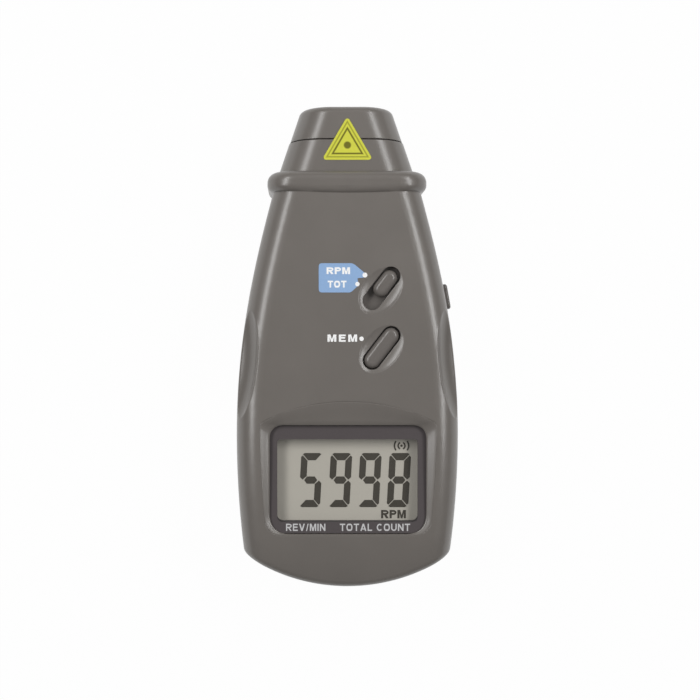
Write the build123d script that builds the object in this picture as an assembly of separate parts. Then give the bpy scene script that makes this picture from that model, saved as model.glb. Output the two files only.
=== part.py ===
from build123d import *
import math
import os

# Handheld photo tachometer, lying on its back.
# X runs across the body, +Y points to the sensing head and +Z comes out of the display.
# The origin is the middle of the outline on the flat back. Lengths are millimetres.

# Lengths along the body, from the chin to the end of the nose
body_length = 128.1
collar_length = 6.4
head_length = 10.6
nose_length = 10.9

# Outline of the body from the front
shoulder_half = 24.3
shoulder_slope = 0.265
grip_half = 36.1
corner_draw = 2.4
widest_from_chin = 49.6
corner_from_chin = 11.1
side_draft = 1.5
spline_steps = 10

# Body from the side
split_height = 18.0
crest_height = 37.0
crest_from_chin = 58.1
shoulder_drop = 3.8
display_end_drop = 2.0
display_end_from_chin = 17.1
chin_drop = 6.7
back_rise = 2.6
back_rise_from_chin = 100.1

# Shell
wall = 2.2
front_round = 8.0
back_round = 5.0
end_round = 3.0
wall_min_round = 0.4
tongue_height = 1.2
tongue_gap = 0.1

# Finger scoops along both sides
scoop_radius = 8.0
scoop_sweep = 54.0
scoop_bite = 7.3
scoop_from_chin = 78.3
scoop_above_crest = 0.2
scoop_edge_round = 0.8

# Collar, head and nose
collar_proud = 1.65
collar_corner = 9.0
collar_head_round = 3.2
collar_body_round = 2.6
collar_bow = 1.2
head_half = 22.4
head_half_depth = 13.0
head_slope = 0.333
head_depth_slope = 0.07
head_corner = 11.0
head_root = 0.5
nose_rim_round = 2.6
nose_step = 0.2
nose_seam = 0.4
spigot_length = 3.0
spigot_wall = 1.2

# Display
window_from_chin = 35.4
window_width = 50.4
window_length = 34.6
window_drop = 2.8
window_top_round = 2.6
window_end_round = 4.5
window_thickness = 2.0
window_sink = 0.2
window_flange = 1.4
window_flange_thickness = 0.8
window_land = 2.0
pocket_side_run = 4.3
pocket_end_run = 2.0
pocket_brow_run = 10.8
pocket_arch_rise = 9.4
pocket_end_round = 5.6
pocket_brow_round = 3.0
fit_gap = 0.1

# Liquid crystal display and its frame
view_width = 45.3
view_length = 26.4
view_from_chin = 35.1
view_top_round = 0.9
view_end_round = 1.9
frame_front_wall = 1.2
frame_overlap = 0.8
glass_width = 49.6
glass_length = 30.8
glass_thickness = 2.8
strip_width = 2.0
strip_from_edge = 2.2
strip_short = 4.0

# Boards
board_thickness = 1.6
board_stand = 2.7
board_inset = 7.5
post_diameter = 5.0
board_screw_length = 6.0
upper_post_half = 10.5
upper_post_from_collar = 8.0
lower_post_half = 12.0
lower_post_from_chin = 14.0
board_notch_gap = 0.6
chip_x = -12.0
chip_below_mode = 15.0
chip_size = 12.0
chip_height = 1.8
chip_leads = 8
crystal_length = 11.0
crystal_width = 4.6
crystal_height = 3.6
capacitor_diameter = 4.0
capacitor_height = 5.4
capacitor_pitch = 6.5
header_length = 8.0
header_width = 10.0
header_height = 2.4
header_margin = 1.2

# Slide control and push control on the front
control_angle = 52.5
control_x = 10.7
mode_from_collar = 31.6
control_pitch = 19.0
slot_length = 15.9
slot_width = 6.0
dish_half_length = 8.75
dish_half_width = 5.9
dish_depth = 1.3
dish_roundness = 2.6
control_pad = 1.0
flange_margin = 1.2
flange_thickness = 1.0
run_gap = 0.3
knob_length = 9.4
knob_width = 5.0
knob_proud = 0.35
knob_round = 1.9
mode_travel = 4.0
mem_gap = 0.35
mem_travel = 0.8
mem_sink = 0.15
stem_width = 2.6
switch_length = 12.6
switch_width = 6.4
switch_wall = 0.8
mode_switch_rise = 4.0
mem_switch_size = 6.2
mem_switch_height = 3.6
mem_plunger_depth = 2.0
plunger_diameter = 3.4

# Push control on the right side
side_from_collar = 33.8
side_height = 19.2
side_length = 8.4
side_depth = 5.4
side_proud = 1.9
side_travel = 1.2
side_round = 1.4
side_switch_length = 6.2
side_switch_depth = 4.4
side_switch_height = 5.4
side_plunger_depth = 1.2

# Battery bay, cells and door
cell_diameter = 14.5
cell_length = 50.5
cell_nub_length = 1.3
cell_nub_diameter = 5.5
cell_rim = 0.5
cell_count = 4
cell_gap = 0.4
contact_space = 5.8
contact_thickness = 0.4
contact_width = 9.0
spring_side_gap = 1.0
spring_foot_gap = 2.0
contact_tab_shift = 2.4
contact_tab_width = 3.0
bay_from_chin = 13.4
bay_wall = 1.3
bay_deck = 1.6
bay_clearance = 0.5
door_half = 29.6
door_skin = 1.2
door_core = 1.0
door_core_step = 1.3
door_sink = 0.15
door_gap = 0.3
door_travel = 8.0
door_floor = 3.2
lip_thickness = 1.1
tab_length = 5.0
tab_reach = 1.0
tab_thickness = 0.9
tab_width = 1.1
grip_groove_count = 6
grip_groove_pitch = 2.4
grip_groove_width = 1.1
grip_groove_length = 24.0
grip_groove_depth = 0.5

# Screws
screw_diameter = 2.4
screw_head_diameter = 4.6
screw_head_height = 1.7
boss_diameter = 6.6
case_screw_length = 18.0
case_screw_seat = 8.0
upper_boss_half = 19.4
upper_boss_from_collar = 6.6
lower_boss_inset = 9.7
lower_boss_above_bay = 6.4

# Optics in the head
optic_width = 27.0
optic_depth = 14.0
optic_length = 18.0
optic_from_end = 8.6
laser_x = -6.6
laser_diameter = 9.0
laser_stand = 0.9
laser_lens_diameter = 5.0
laser_lens_thickness = 1.4
receiver_x = 6.6
receiver_diameter = 9.6
receiver_lens_thickness = 3.2
receiver_lens_edge = 1.2
receiver_bore = 7.4
sensor_diameter = 5.0
sensor_flange = 5.8
sensor_length = 6.4
sensor_board_width = 24.0
sensor_board_depth = 16.0
optic_round = 3.0
cradle_rib = 2.0
cradle_gap = 3.0
beam_width = 19.6
beam_depth = 12.0
beam_round = 3.0
beam_flange = 1.6
beam_sink = 0.5

# Aiming sticker on the head
mark_side = 16.5
mark_round = 0.8
mark_thickness = 0.15
mark_from_collar = 3.7

# Places worked out from the lengths above
total_length = body_length + collar_length + head_length + nose_length
y_chin = -total_length / 2
y_collar = y_chin + body_length
y_collar_mid = y_collar + collar_length / 2
y_head = y_collar + collar_length
y_seam = y_head + head_length
y_end = y_seam + nose_length
y_widest = y_chin + widest_from_chin
y_corner = y_chin + corner_from_chin
y_crest = y_chin + crest_from_chin
y_display_end = y_chin + display_end_from_chin
y_window = y_chin + window_from_chin
y_view = y_chin + view_from_chin
y_mode = y_collar - mode_from_collar
y_mem = y_mode - control_pitch
y_side = y_collar - side_from_collar
y_optic_high = y_end - optic_from_end
y_optic_low = y_optic_high - optic_length
corner_half = grip_half - corner_draw
scoop_inner_half = grip_half - scoop_bite
lower_boss_half = grip_half - lower_boss_inset
shoulder_height = crest_height - shoulder_drop
display_end_height = crest_height - display_end_drop
chin_height = crest_height - chin_drop
window_height = crest_height - window_drop
flange_top = window_height - window_thickness
frame_top = flange_top - window_flange_thickness
glass_top = frame_top - frame_front_wall
glass_low = glass_top - glass_thickness

bay_half = (cell_count * cell_diameter + (cell_count - 1) * cell_gap) / 2 + cell_gap
bay_length = cell_length + contact_space + 2 * contact_thickness
y_bay_low = y_chin + bay_from_chin
y_bay_high = y_bay_low + bay_length
cell_axis = wall + bay_clearance + cell_diameter / 2
bay_roof = cell_axis + cell_diameter / 2 + bay_clearance
board_bottom = bay_roof + bay_deck + board_stand
board_top = board_bottom + board_thickness

case_screw_spots = [
    (-upper_boss_half, y_collar - upper_boss_from_collar),
    (upper_boss_half, y_collar - upper_boss_from_collar),
    (-lower_boss_half, y_bay_high + lower_boss_above_bay),
    (lower_boss_half, y_bay_high + lower_boss_above_bay),
]
board_screw_spots = [
    (-upper_post_half, y_collar - upper_post_from_collar),
    (upper_post_half, y_collar - upper_post_from_collar),
    (-lower_post_half, y_chin + lower_post_from_chin),
    (lower_post_half, y_chin + lower_post_from_chin),
]


def flip(point):
    """The same point on the other side of the centre line."""
    return (-point[0], point[1])


def block(x0, x1, y0, y1, z0, z1):
    """Box between two corners."""
    centre = Pos((x0 + x1) / 2, (y0 + y1) / 2, (z0 + z1) / 2)
    return centre * Box(x1 - x0, y1 - y0, z1 - z0)


def rod(x, y, z0, z1, diameter):
    """Upright round bar between two heights."""
    return Pos(x, y, (z0 + z1) / 2) * Cylinder(diameter / 2, z1 - z0)


def lying_rod(x, y0, y1, z, diameter):
    """Round bar along Y."""
    return Pos(x, (y0 + y1) / 2, z) * Rot(90, 0, 0) * Cylinder(diameter / 2, y1 - y0)


def prism(outline, z0, z1):
    """Flat outline raised from one height to another."""
    return extrude(Pos(0, 0, z0) * outline, amount=z1 - z0)


def slab_y(y0, y1):
    """Everything between two stations along the body."""
    return block(-2 * grip_half, 2 * grip_half, y0, y1, -crest_height, 2 * crest_height)


def slab_z(z0, z1):
    """Everything between two heights."""
    return block(-2 * grip_half, 2 * grip_half, -total_length, total_length, z0, z1)


# The side curve is one fair line from the shoulder down to the widest station
shoulder = (shoulder_half, y_collar)
widest = (grip_half, y_widest)
corner = (corner_half, y_corner)
side_curve = Spline(widest, shoulder, tangents=[(0, 1), (-shoulder_slope, 1)])


def side_at(y):
    """Point on the side curve at a station, and the turn of its outward normal, by halving."""
    low = 0.0
    high = 1.0
    for _ in range(40):
        middle = (low + high) / 2
        if (side_curve @ middle).Y < y:
            low = middle
        else:
            high = middle
    tangent = side_curve % low
    return side_curve @ low, math.degrees(math.atan2(-tangent.X, tangent.Y))


def plain_face(face):
    """The same face with its offset curves redrawn as splines."""
    edges = []
    for edge in face.edges():
        if edge.geom_type in (GeomType.LINE, GeomType.CIRCLE):
            edges.append(edge)
        else:
            points = [edge @ (step / spline_steps) for step in range(spline_steps + 1)]
            edges.append(Spline(*points, tangents=[edge % 0, edge % 1]))
    return make_face(edges).faces()[0]


def plan_outline(inset=0.0):
    """Body seen from the front at the split, drawn in by an inset."""
    top = (shoulder_half - shoulder_slope * collar_length / 2, y_collar_mid)
    edges = [
        ThreePointArc(flip(corner), (0, y_chin), corner),
        TangentArc(widest, corner, tangent=(0, -1)),
        side_curve,
        Line(shoulder, top),
        Line(top, flip(top)),
        Line(flip(top), flip(shoulder)),
        Spline(flip(shoulder), flip(widest), tangents=[(-shoulder_slope, -1), (0, -1)]),
        TangentArc(flip(widest), flip(corner), tangent=(0, -1)),
    ]
    face = make_face(edges).faces()[0]
    if inset:
        face = plain_face(offset(face, amount=-inset).faces()[0])
    return face


def crown_height(y):
    """Height of the front along the centre line, on either arc that leaves the crest level."""
    if y > y_crest:
        run = y_collar_mid - y_crest
        drop = crest_height - shoulder_height
    else:
        run = y_crest - y_display_end
        drop = crest_height - display_end_height
    radius = (run ** 2 + drop ** 2) / (2 * drop)
    return crest_height - radius + math.sqrt(radius ** 2 - (y - y_crest) ** 2)


def side_profile(inset=0.0):
    """Body seen from the side: crown, display crown, chin roll and the back with its rise."""
    low = y_chin - 1
    crest = (y_crest, crest_height)
    display_end = (y_display_end, display_end_height)
    display_crown = TangentArc(crest, display_end, tangent=(-1, 0))
    chin_roll = TangentArc(display_end, (low, chin_height), tangent=display_crown % 1)
    rise_start = (y_chin + back_rise_from_chin, 0)
    edges = [
        Line((low, 0), rise_start),
        TangentArc(rise_start, (y_collar_mid, back_rise), tangent=(1, 0)),
        Line((y_collar_mid, back_rise), (y_collar_mid, shoulder_height)),
        TangentArc(crest, (y_collar_mid, shoulder_height), tangent=(1, 0)),
        display_crown,
        chin_roll,
        Line((low, chin_height), (low, 0)),
    ]
    face = make_face(edges).faces()[0]
    if inset:
        face = offset(face, amount=-inset).faces()[0]
    return face


def long_sides(form):
    """Long edges of the body that run along it, on either side."""
    return [
        e for e in form.edges()
        if abs(e.center().X) > corner_half / 2 and e.length > 15 and abs((e % 0.5).Z) < 0.5
    ]


def body_form(inset=0.0):
    """Solid body inside the outer skin by an inset: drafted halves, crowned, edges rolled over."""
    level = split_height - inset
    plan = Pos(0, 0, level) * plan_outline(inset)
    front = extrude(plan, amount=crest_height - level + 2, taper=side_draft)
    back = extrude(plan, amount=-level, taper=side_draft)
    profile = Plane.YZ.offset(-2 * grip_half) * side_profile(inset)
    form = (front + back) & extrude(profile, amount=4 * grip_half)
    upper = [e for e in long_sides(form) if e.center().Z > (split_height + crest_height) / 2]
    form = fillet(upper, front_round - inset)
    lower = [e for e in long_sides(form) if e.center().Z < back_rise + inset + 1]
    form = fillet(lower, back_round - inset)
    rim_limit = y_corner + 2 + inset
    rim = [e for e in form.edges() if e.center().Y < rim_limit and abs(e.center().Z - split_height) > 1]
    return fillet(rim, end_round - inset)


def scoop_form(grow=0.0):
    """Two rings whose inner bulge scoops the long front edges for finger and thumb."""
    x = scoop_inner_half + scoop_radius + scoop_sweep
    place = Pos(x, y_chin + scoop_from_chin, crest_height + scoop_above_crest)
    ring = place * Torus(scoop_sweep, scoop_radius + grow)
    return ring + mirror(ring, about=Plane.YZ)


def collar_form():
    """Round-edged ring where the head meets the body, bowed towards the body at its middle."""
    half = shoulder_half + collar_proud
    low = back_rise - collar_proud
    high = shoulder_height + collar_proud
    y_bow = y_collar - collar_bow
    plane = Plane(origin=(0, y_bow, (low + high) / 2), x_dir=(1, 0, 0), z_dir=(0, 1, 0))
    ring = extrude(plane * RectangleRounded(2 * half, high - low, collar_corner), amount=y_head - y_bow)
    bow_radius = (half**2 + collar_bow**2) / (2 * collar_bow)
    ring &= Pos(0, y_bow + bow_radius, split_height) * Cylinder(bow_radius, 2 * crest_height)
    ring = fillet(ring.faces().sort_by(Axis.Y)[-1].edges(), collar_head_round)
    return fillet(ring.faces().sort_by(Axis.Y)[0].edges(), collar_body_round)


def head_section(y, inset):
    """Rounded rectangle of the tapering head at a station."""
    run = y - y_head
    half = head_half - head_slope * run - inset
    depth = head_half_depth - head_depth_slope * run - inset
    plane = Plane(origin=(0, y, split_height), x_dir=(1, 0, 0), z_dir=(0, 1, 0))
    radius = min(head_corner - inset, 0.98 * depth, 0.98 * half)
    return plane * RectangleRounded(2 * half, 2 * depth, radius)


def head_form(inset=0.0, y_far=None):
    """Tapering head and nose as one solid, its end rim rounded."""
    far = y_end - inset if y_far is None else y_far
    form = loft([head_section(y_collar + head_root, inset), head_section(far, inset)])
    rim = form.faces().sort_by(Axis.Y)[-1].edges()
    return fillet(rim, max(nose_rim_round - inset, wall_min_round))


def control_place(y):
    """Frame of a front control: x along its slot, at the height of the front."""
    return Pos(control_x, y, crown_height(y)) * Rot(0, 0, control_angle)


def pill(length, width, z0, z1):
    """Upright bar with full round ends, along local X."""
    return prism(SlotOverall(length, width), z0, z1)


def control_dish():
    """Shallow oval finger dish, cut from the front by a squashed ball above it."""
    rim = math.sqrt(1 - ((dish_roundness - dish_depth) / dish_roundness) ** 2)
    ball = scale(Sphere(1), by=(dish_half_length / rim, dish_half_width / rim, dish_roundness))
    return Pos(0, 0, dish_roundness - dish_depth) * ball


def display_outline(y, width, length, low_round, high_round):
    """Rectangle across the body whose lower and upper corners are rounded apart."""
    half = width / 2
    low = y - length / 2
    high = y + length / 2
    face = make_face(Polyline((-half, low), (half, low), (half, high), (-half, high), close=True))
    face = fillet(face.vertices().sort_by(Axis.Y)[:2], low_round)
    return fillet(face.vertices().sort_by(Axis.Y)[-2:], high_round)


def window_outline(grow=0.0):
    """Outline of the display window, rounder at its lower corners."""
    width = window_width + 2 * grow
    length = window_length + 2 * grow
    return display_outline(y_window, width, length, window_end_round + grow, window_top_round + grow)


def pocket_cut():
    """Sunk field round the window: sides slope up to the front, the brow slopes further and arches."""
    low = y_window - window_length / 2 - pocket_end_run
    spring = y_window + window_length / 2 + pocket_brow_run - pocket_arch_rise
    half = window_width / 2 + pocket_side_run
    outer = make_face([
        Line((-half, low), (half, low)),
        Line((half, low), (half, spring)),
        ThreePointArc((half, spring), (0, spring + pocket_arch_rise), (-half, spring)),
        Line((-half, spring), (-half, low)),
    ])
    outer = fillet(outer.vertices().sort_by(Axis.Y)[:2], pocket_end_round)
    outer = fillet(outer.vertices().sort_by(Axis.Y)[-2:], pocket_brow_round)
    floor = Pos(0, 0, window_height) * window_outline(fit_gap)
    return loft([floor, Pos(0, 0, crest_height + 1) * outer])


# Levels of the front controls
def pad_level(y):
    """Underside of the thickened front behind a control."""
    return crown_height(y) - wall - control_pad


def flange_low(y):
    """Underside of a control's retaining flange."""
    return pad_level(y) - run_gap - flange_thickness


def control_pads():
    """Thickened front behind the two slots, so that the dishes leave a full wall."""
    pads = Part()
    for y in (y_mode, y_mem):
        depth = crown_height(y) - pad_level(y)
        pad = pill(slot_length + 4 * flange_margin, dish_half_width * 2 + 1, -depth, 0)
        pads += control_place(y) * pad
    return pads


def control_cuts():
    """Finger dishes and slots for both controls."""
    cuts = Part()
    for y in (y_mode, y_mem):
        slot = pill(slot_length, slot_width, -2 * wall - control_pad, crest_height)
        cuts += control_place(y) * (control_dish() + slot)
    return cuts


def side_place():
    """Frame of the side control: x points out of the wall, y runs along it."""
    point, turn = side_at(y_side)
    return Pos(point.X, point.Y, side_height) * Rot(0, 0, turn)


def side_cut():
    """Opening for the side control, shared by both covers."""
    half_y = side_length / 2 + run_gap
    half_z = side_depth / 2 + run_gap
    return side_place() * block(-2 * wall, 2 * wall, -half_y, half_y, -half_z, half_z)


outer_body = body_form() - scoop_form()


def scooped_body():
    """Body with the rims of its finger scoops softened."""
    y_scoop = y_chin + scoop_from_chin
    rims = [
        e for e in outer_body.edges()
        if abs(e.center().X) > scoop_inner_half - 1.5
        and abs(e.center().Y - y_scoop) < scoop_sweep * 0.65
        and e.center().Z > split_height + 4
    ]
    return fillet(rims, scoop_edge_round)


covers_form = (scooped_body() + head_form() + collar_form()) & slab_y(-total_length, y_seam - nose_seam / 2)
hollow_form = (body_form(wall) - scoop_form(wall)) + head_form(wall)
tongue_ring = prism(plan_outline(wall / 2), split_height - tongue_height, split_height)
tongue_ring -= prism(plan_outline(wall), split_height - tongue_height, split_height)
rebate_depth = tongue_height + tongue_gap
rebate_ring = prism(plan_outline(wall / 2 - tongue_gap), split_height - rebate_depth, split_height)
tongue_reach = slab_y(-total_length, y_collar - collar_length)


def screw_bosses(z0, z1, bore, spots, diameter):
    """Round bosses with a pilot bore."""
    bosses = Part()
    for x, y in spots:
        bosses += rod(x, y, z0, z1, diameter)
    for x, y in spots:
        bosses -= rod(x, y, z0 - 1, z1 + 1, bore)
    return bosses


def front_cover():
    """Upper shell: crowned front with scoops, sunk display field, control slots, posts and tongue."""
    solid = covers_form & slab_z(split_height, 2 * crest_height)
    shell = solid - hollow_form
    land_low = window_height - window_thickness
    inner = prism(window_outline(window_flange + window_land), land_low, crest_height)
    inner += control_pads()
    inner += screw_bosses(split_height, crest_height, screw_diameter * 0.9, case_screw_spots, boss_diameter)
    inner += screw_bosses(board_top, crest_height, screw_diameter * 0.9, board_screw_spots, post_diameter)
    shell += inner & solid
    for x, y in case_screw_spots:
        shell -= rod(x, y, split_height - 1, split_height + case_screw_length / 2, screw_diameter * 0.9)
    shell += (tongue_ring & tongue_reach)
    shell -= pocket_cut()
    shell -= prism(window_outline(fit_gap), land_low - 1, crest_height)
    shell -= control_cuts()
    return shell - side_cut()


def battery_bay():
    """Walls and deck round the cells."""
    half = bay_half + bay_wall
    top = bay_roof + bay_deck
    tray = block(-half, half, y_bay_low - bay_wall, y_bay_high + bay_wall, wall / 2, top)
    return tray - block(-bay_half, bay_half, y_bay_low, y_bay_high, 0, bay_roof)


def door_tab_spots():
    """Stations of the door's hooks."""
    length = y_bay_high - y_bay_low
    return [y_bay_low + door_travel + length * 0.2, y_bay_high - length * 0.2]


def door_room():
    """What the door needs: its recess, the opening over it and notches that let its hooks drop out."""
    skin_top = door_sink + door_skin + door_gap
    half = door_half + door_gap
    core_half = door_half - door_core_step + door_gap
    room = block(-half, half, y_chin - 1, y_bay_high, -1, skin_top)
    room += block(-core_half, core_half, y_bay_low, y_bay_high, -1, 2 * wall)
    for y in door_tab_spots():
        reach = tab_length / 2 + door_gap
        notch_half = core_half + tab_reach + door_gap
        y_notch = y - door_travel
        room += block(-notch_half, notch_half, y_notch - reach, y_notch + reach, -1, 2 * wall)
    return room


def rear_cover():
    """Lower shell: flat back with its rise, battery bay, door seat, screw bosses and optics cradle."""
    solid = covers_form & slab_z(-1, split_height)
    shell = solid - hollow_form
    shell -= rebate_ring & tongue_reach
    lip_low = door_sink + door_skin + door_gap
    inner = battery_bay()
    inner += block(-bay_half, bay_half, y_chin, y_bay_high, lip_low, lip_low + lip_thickness)
    inner += block(-bay_half, bay_half, y_chin, y_bay_low, lip_low, door_floor)
    inner += screw_bosses(0, split_height, screw_diameter + 2 * fit_gap, case_screw_spots, boss_diameter)
    inner += optics_cradle()
    keep = body_form(wall / 2) + head_form(wall / 2)
    shell += inner & keep
    for x, y in case_screw_spots:
        shell -= rod(x, y, -1, case_screw_seat, screw_head_diameter + 4 * fit_gap)
        shell -= rod(x, y, -1, split_height + 1, screw_diameter + 2 * fit_gap)
    shell -= door_room()
    for x in contact_tab_spots():
        half = contact_tab_width / 2 + run_gap
        far = y_bay_low + contact_thickness + run_gap
        shell -= block(x - half, x + half, y_bay_low, far, bay_roof - 1, bay_roof + 2 * bay_deck)
    return shell - side_cut()


def optics_cradle():
    """Ribs on the lower shell that carry the optic block in the head."""
    low_rib = y_optic_low + cradle_gap
    high_rib = y_head + (y_seam - y_head) / 2 - spigot_length / 2
    ribs = Part()
    for y in (low_rib, high_rib):
        ribs += block(-optic_width / 2 + optic_round, optic_width / 2 - optic_round,
                      y - cradle_rib / 2, y + cradle_rib / 2, 0, split_height - optic_depth / 2)
    return ribs


def beam_opening(grow=0.0):
    """Rounded opening in the end of the nose, as a bar along Y."""
    plane = Plane(origin=(0, y_end - 4 * wall, split_height), x_dir=(1, 0, 0), z_dir=(0, 1, 0))
    outline = RectangleRounded(beam_width + 2 * grow, beam_depth + 2 * grow, beam_round + grow)
    return extrude(plane * outline, amount=8 * wall)


def nose_cap():
    """Cap on the head: tapering shell, rounded end rim, beam opening and a spigot into the head."""
    skin = head_form(nose_step, y_end) & slab_y(y_seam + nose_seam / 2, y_end + 1)
    root_end = y_seam + wall
    root = head_form(wall / 2) & slab_y(y_seam + nose_seam / 2, root_end)
    spigot = head_form(wall + fit_gap) & slab_y(y_seam - spigot_length, root_end)
    bore = head_form(wall + fit_gap + spigot_wall) & slab_y(y_seam - 2 * spigot_length, root_end + fit_gap)
    return (skin - head_form(wall)) + root + spigot - bore - beam_opening()


def beam_window():
    """Filter window in the nose: a plug in the opening and a flange behind the end wall."""
    plug = beam_opening(-fit_gap) & slab_y(y_end - wall, y_end - beam_sink)
    flange = beam_opening(beam_flange) & slab_y(y_end - wall - window_flange_thickness, y_end - wall)
    return plug + flange


def display_window():
    """Clear display window: a plug flush in the sunk field and a flange behind it."""
    plug = prism(window_outline(), flange_top, window_height - window_sink)
    return plug + prism(window_outline(window_flange), frame_top, flange_top)


def lcd_frame():
    """Dark frame that clamps the display glass to the board; its face is the border seen in the window."""
    frame = prism(window_outline(frame_overlap), board_top, frame_top)
    half = glass_width / 2 + fit_gap
    half_y = glass_length / 2 + fit_gap
    frame -= block(-half, half, y_view - half_y, y_view + half_y, board_top - 1, glass_top)
    view = display_outline(y_view, view_width, view_length, view_end_round, view_top_round)
    return frame - prism(view, glass_top - 1, frame_top + 1)


def lcd_glass():
    """Two bonded glass plates; the lower one steps out at both contact edges."""
    half = glass_width / 2
    half_y = glass_length / 2
    step = strip_width
    middle = (glass_low + glass_top) / 2
    upper = block(-half, half, y_view - half_y + step / 2, y_view + half_y - step / 2, middle, glass_top)
    return upper + block(-half, half, y_view - half_y, y_view + half_y, glass_low, middle)


def lcd_connectors():
    """Two rubber contact strips between the display glass and the board."""
    half = glass_width / 2 - strip_short
    strips = []
    for side in (-1, 1):
        y = y_view + side * (glass_length / 2 - strip_from_edge)
        strips.append(block(-half, half, y - strip_width / 2, y + strip_width / 2, board_top, glass_low))
    return Compound(children=strips)


def main_board():
    """Circuit board that follows the outline of the body, with screw holes and boss notches."""
    board = prism(plan_outline(board_inset), board_bottom, board_top)
    for x, y in board_screw_spots:
        board -= rod(x, y, board_bottom - 1, board_top + 1, screw_diameter + 2 * fit_gap)
    for x, y in case_screw_spots:
        board -= rod(x, y, board_bottom - 1, board_top + 1, boss_diameter + 2 * board_notch_gap)
    return board


def controller_chip():
    """Flat chip with rows of short leads on all four sides."""
    half = chip_size / 2
    body = block(-half, half, -half, half, 0, chip_height)
    body = chamfer(body.faces().sort_by(Axis.Z)[-1].edges(), chip_height / 6)
    pitch = chip_size / (chip_leads + 1)
    lead = pitch / 4
    tip = half + 2 * pitch / 3
    foot = chip_height / 3
    for index in range(chip_leads):
        along = (index + 1) * pitch - half
        body += block(along - lead, along + lead, -tip, tip, 0, foot)
        body += block(-tip, tip, along - lead, along + lead, 0, foot)
    return Pos(chip_x, y_mode - chip_below_mode, board_top) * body


def crystal():
    """Metal can of the timing crystal, lying on the board."""
    can = SlotOverall(crystal_length, crystal_width)
    return Pos(chip_x, y_mode, 0) * prism(can, board_top, board_top + crystal_height)


def capacitors():
    """Three upright capacitors near the top of the board."""
    cans = []
    for index in range(3):
        x = chip_x + index * capacitor_pitch
        y = y_mode + 2 * capacitor_pitch
        cans.append(rod(x, y, board_top, board_top + capacitor_height, capacitor_diameter))
    return Compound(children=cans)


def board_link():
    """Plug block that joins the main board to the upright sensor board."""
    y = y_optic_low - board_thickness
    half = header_width / 2
    return block(-half, half, y - header_length, y, board_top, board_top + header_height)


def sensor_board():
    """Small upright board behind the optic block."""
    half = sensor_board_width / 2
    low = split_height - sensor_board_depth / 2
    high = board_top + header_height + header_margin
    return block(-half, half, y_optic_low - board_thickness, y_optic_low, low, high)


def optic_block():
    """Holder with one bore for the laser and a stepped bore for the receiving lens."""
    half = optic_width / 2
    low = split_height - optic_depth / 2
    holder = block(-half, half, y_optic_low, y_optic_high, low, low + optic_depth)
    holder = fillet(holder.edges().filter_by(Axis.Y), optic_round)
    lens_seat = y_optic_high - receiver_lens_edge
    back = y_optic_low - 1
    front = y_optic_high + 1
    holder -= lying_rod(laser_x, back, front, split_height, laser_diameter + 2 * fit_gap)
    holder -= lying_rod(receiver_x, back, front, split_height, receiver_bore)
    return holder - lying_rod(receiver_x, lens_seat, front, split_height, receiver_diameter + fit_gap)


def laser_module():
    """Brass barrel of the aiming laser, counterbored for its lens."""
    front = y_optic_high + laser_stand
    seat = front - laser_lens_thickness
    mouth = seat - laser_lens_thickness
    barrel = lying_rod(laser_x, y_optic_low, front, split_height, laser_diameter)
    barrel -= lying_rod(laser_x, mouth, front + 1, split_height, laser_lens_diameter / 2)
    return barrel - lying_rod(laser_x, seat, front + 1, split_height, laser_lens_diameter + fit_gap)


def lens_disc(x, back, diameter, edge, thickness):
    """Flat-backed lens: a short round edge and a domed front towards +Y."""
    rise = thickness - edge
    radius = ((diameter / 2) ** 2 + rise ** 2) / (2 * rise)
    ball = Pos(x, back + thickness - radius, split_height) * Rot(90, 0, 0) * Sphere(radius)
    return lying_rod(x, back, back + thickness, split_height, diameter) & ball


def laser_lens():
    """Collimating lens in the mouth of the laser barrel."""
    back = y_optic_high + laser_stand - laser_lens_thickness
    return lens_disc(laser_x, back, laser_lens_diameter, laser_lens_thickness / 2, laser_lens_thickness)


def receiver_lens():
    """Plano-convex lens that gathers the light reflected by the target."""
    back = y_optic_high - receiver_lens_edge
    return lens_disc(receiver_x, back, receiver_diameter, receiver_lens_edge, receiver_lens_thickness)


def photo_sensor():
    """Domed light sensor on the sensor board, looking up the receiving bore."""
    y_dome = y_optic_low + sensor_length - sensor_diameter / 2
    flange = lying_rod(receiver_x, y_optic_low, y_optic_low + 1, split_height, sensor_flange)
    body = lying_rod(receiver_x, y_optic_low, y_dome, split_height, sensor_diameter)
    dome = Pos(receiver_x, y_dome, split_height) * Sphere(sensor_diameter / 2)
    return flange + body + dome


def mode_switch():
    """Slide switch body with a channel for its slider."""
    length = switch_length
    place = Pos(control_x, y_mode, 0) * Rot(0, 0, control_angle)
    top = board_top + mode_switch_rise
    body = block(-length / 2, length / 2, -switch_width / 2, switch_width / 2, board_top, top)
    half = length / 2 - switch_wall
    half_y = switch_width / 2 - switch_wall
    body -= block(-half, half, -half_y, half_y, board_top + switch_wall, top - switch_wall)
    slot = (stem_width + mode_travel) / 2 + run_gap
    stem = stem_width / 2 + run_gap
    return place * (body - block(-slot, slot, -stem, stem, board_top, top + 1))


def mode_slider():
    """Slider inside the switch, with a stem up into the knob."""
    place = Pos(control_x, y_mode, 0) * Rot(0, 0, control_angle) * Pos(mode_travel / 2, 0, 0)
    top = board_top + mode_switch_rise
    half = (switch_length - 2 * switch_wall - mode_travel) / 2 - run_gap
    half_y = switch_width / 2 - switch_wall - run_gap
    base = block(-half, half, -half_y, half_y, board_top + switch_wall + run_gap, top - switch_wall - run_gap)
    half_stem = stem_width / 2
    stem_top = flange_low(y_mode) + stem_width
    stem = block(-half_stem, half_stem, -half_stem, half_stem, top - switch_wall - 1, stem_top)
    return place * (base + stem)


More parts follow.
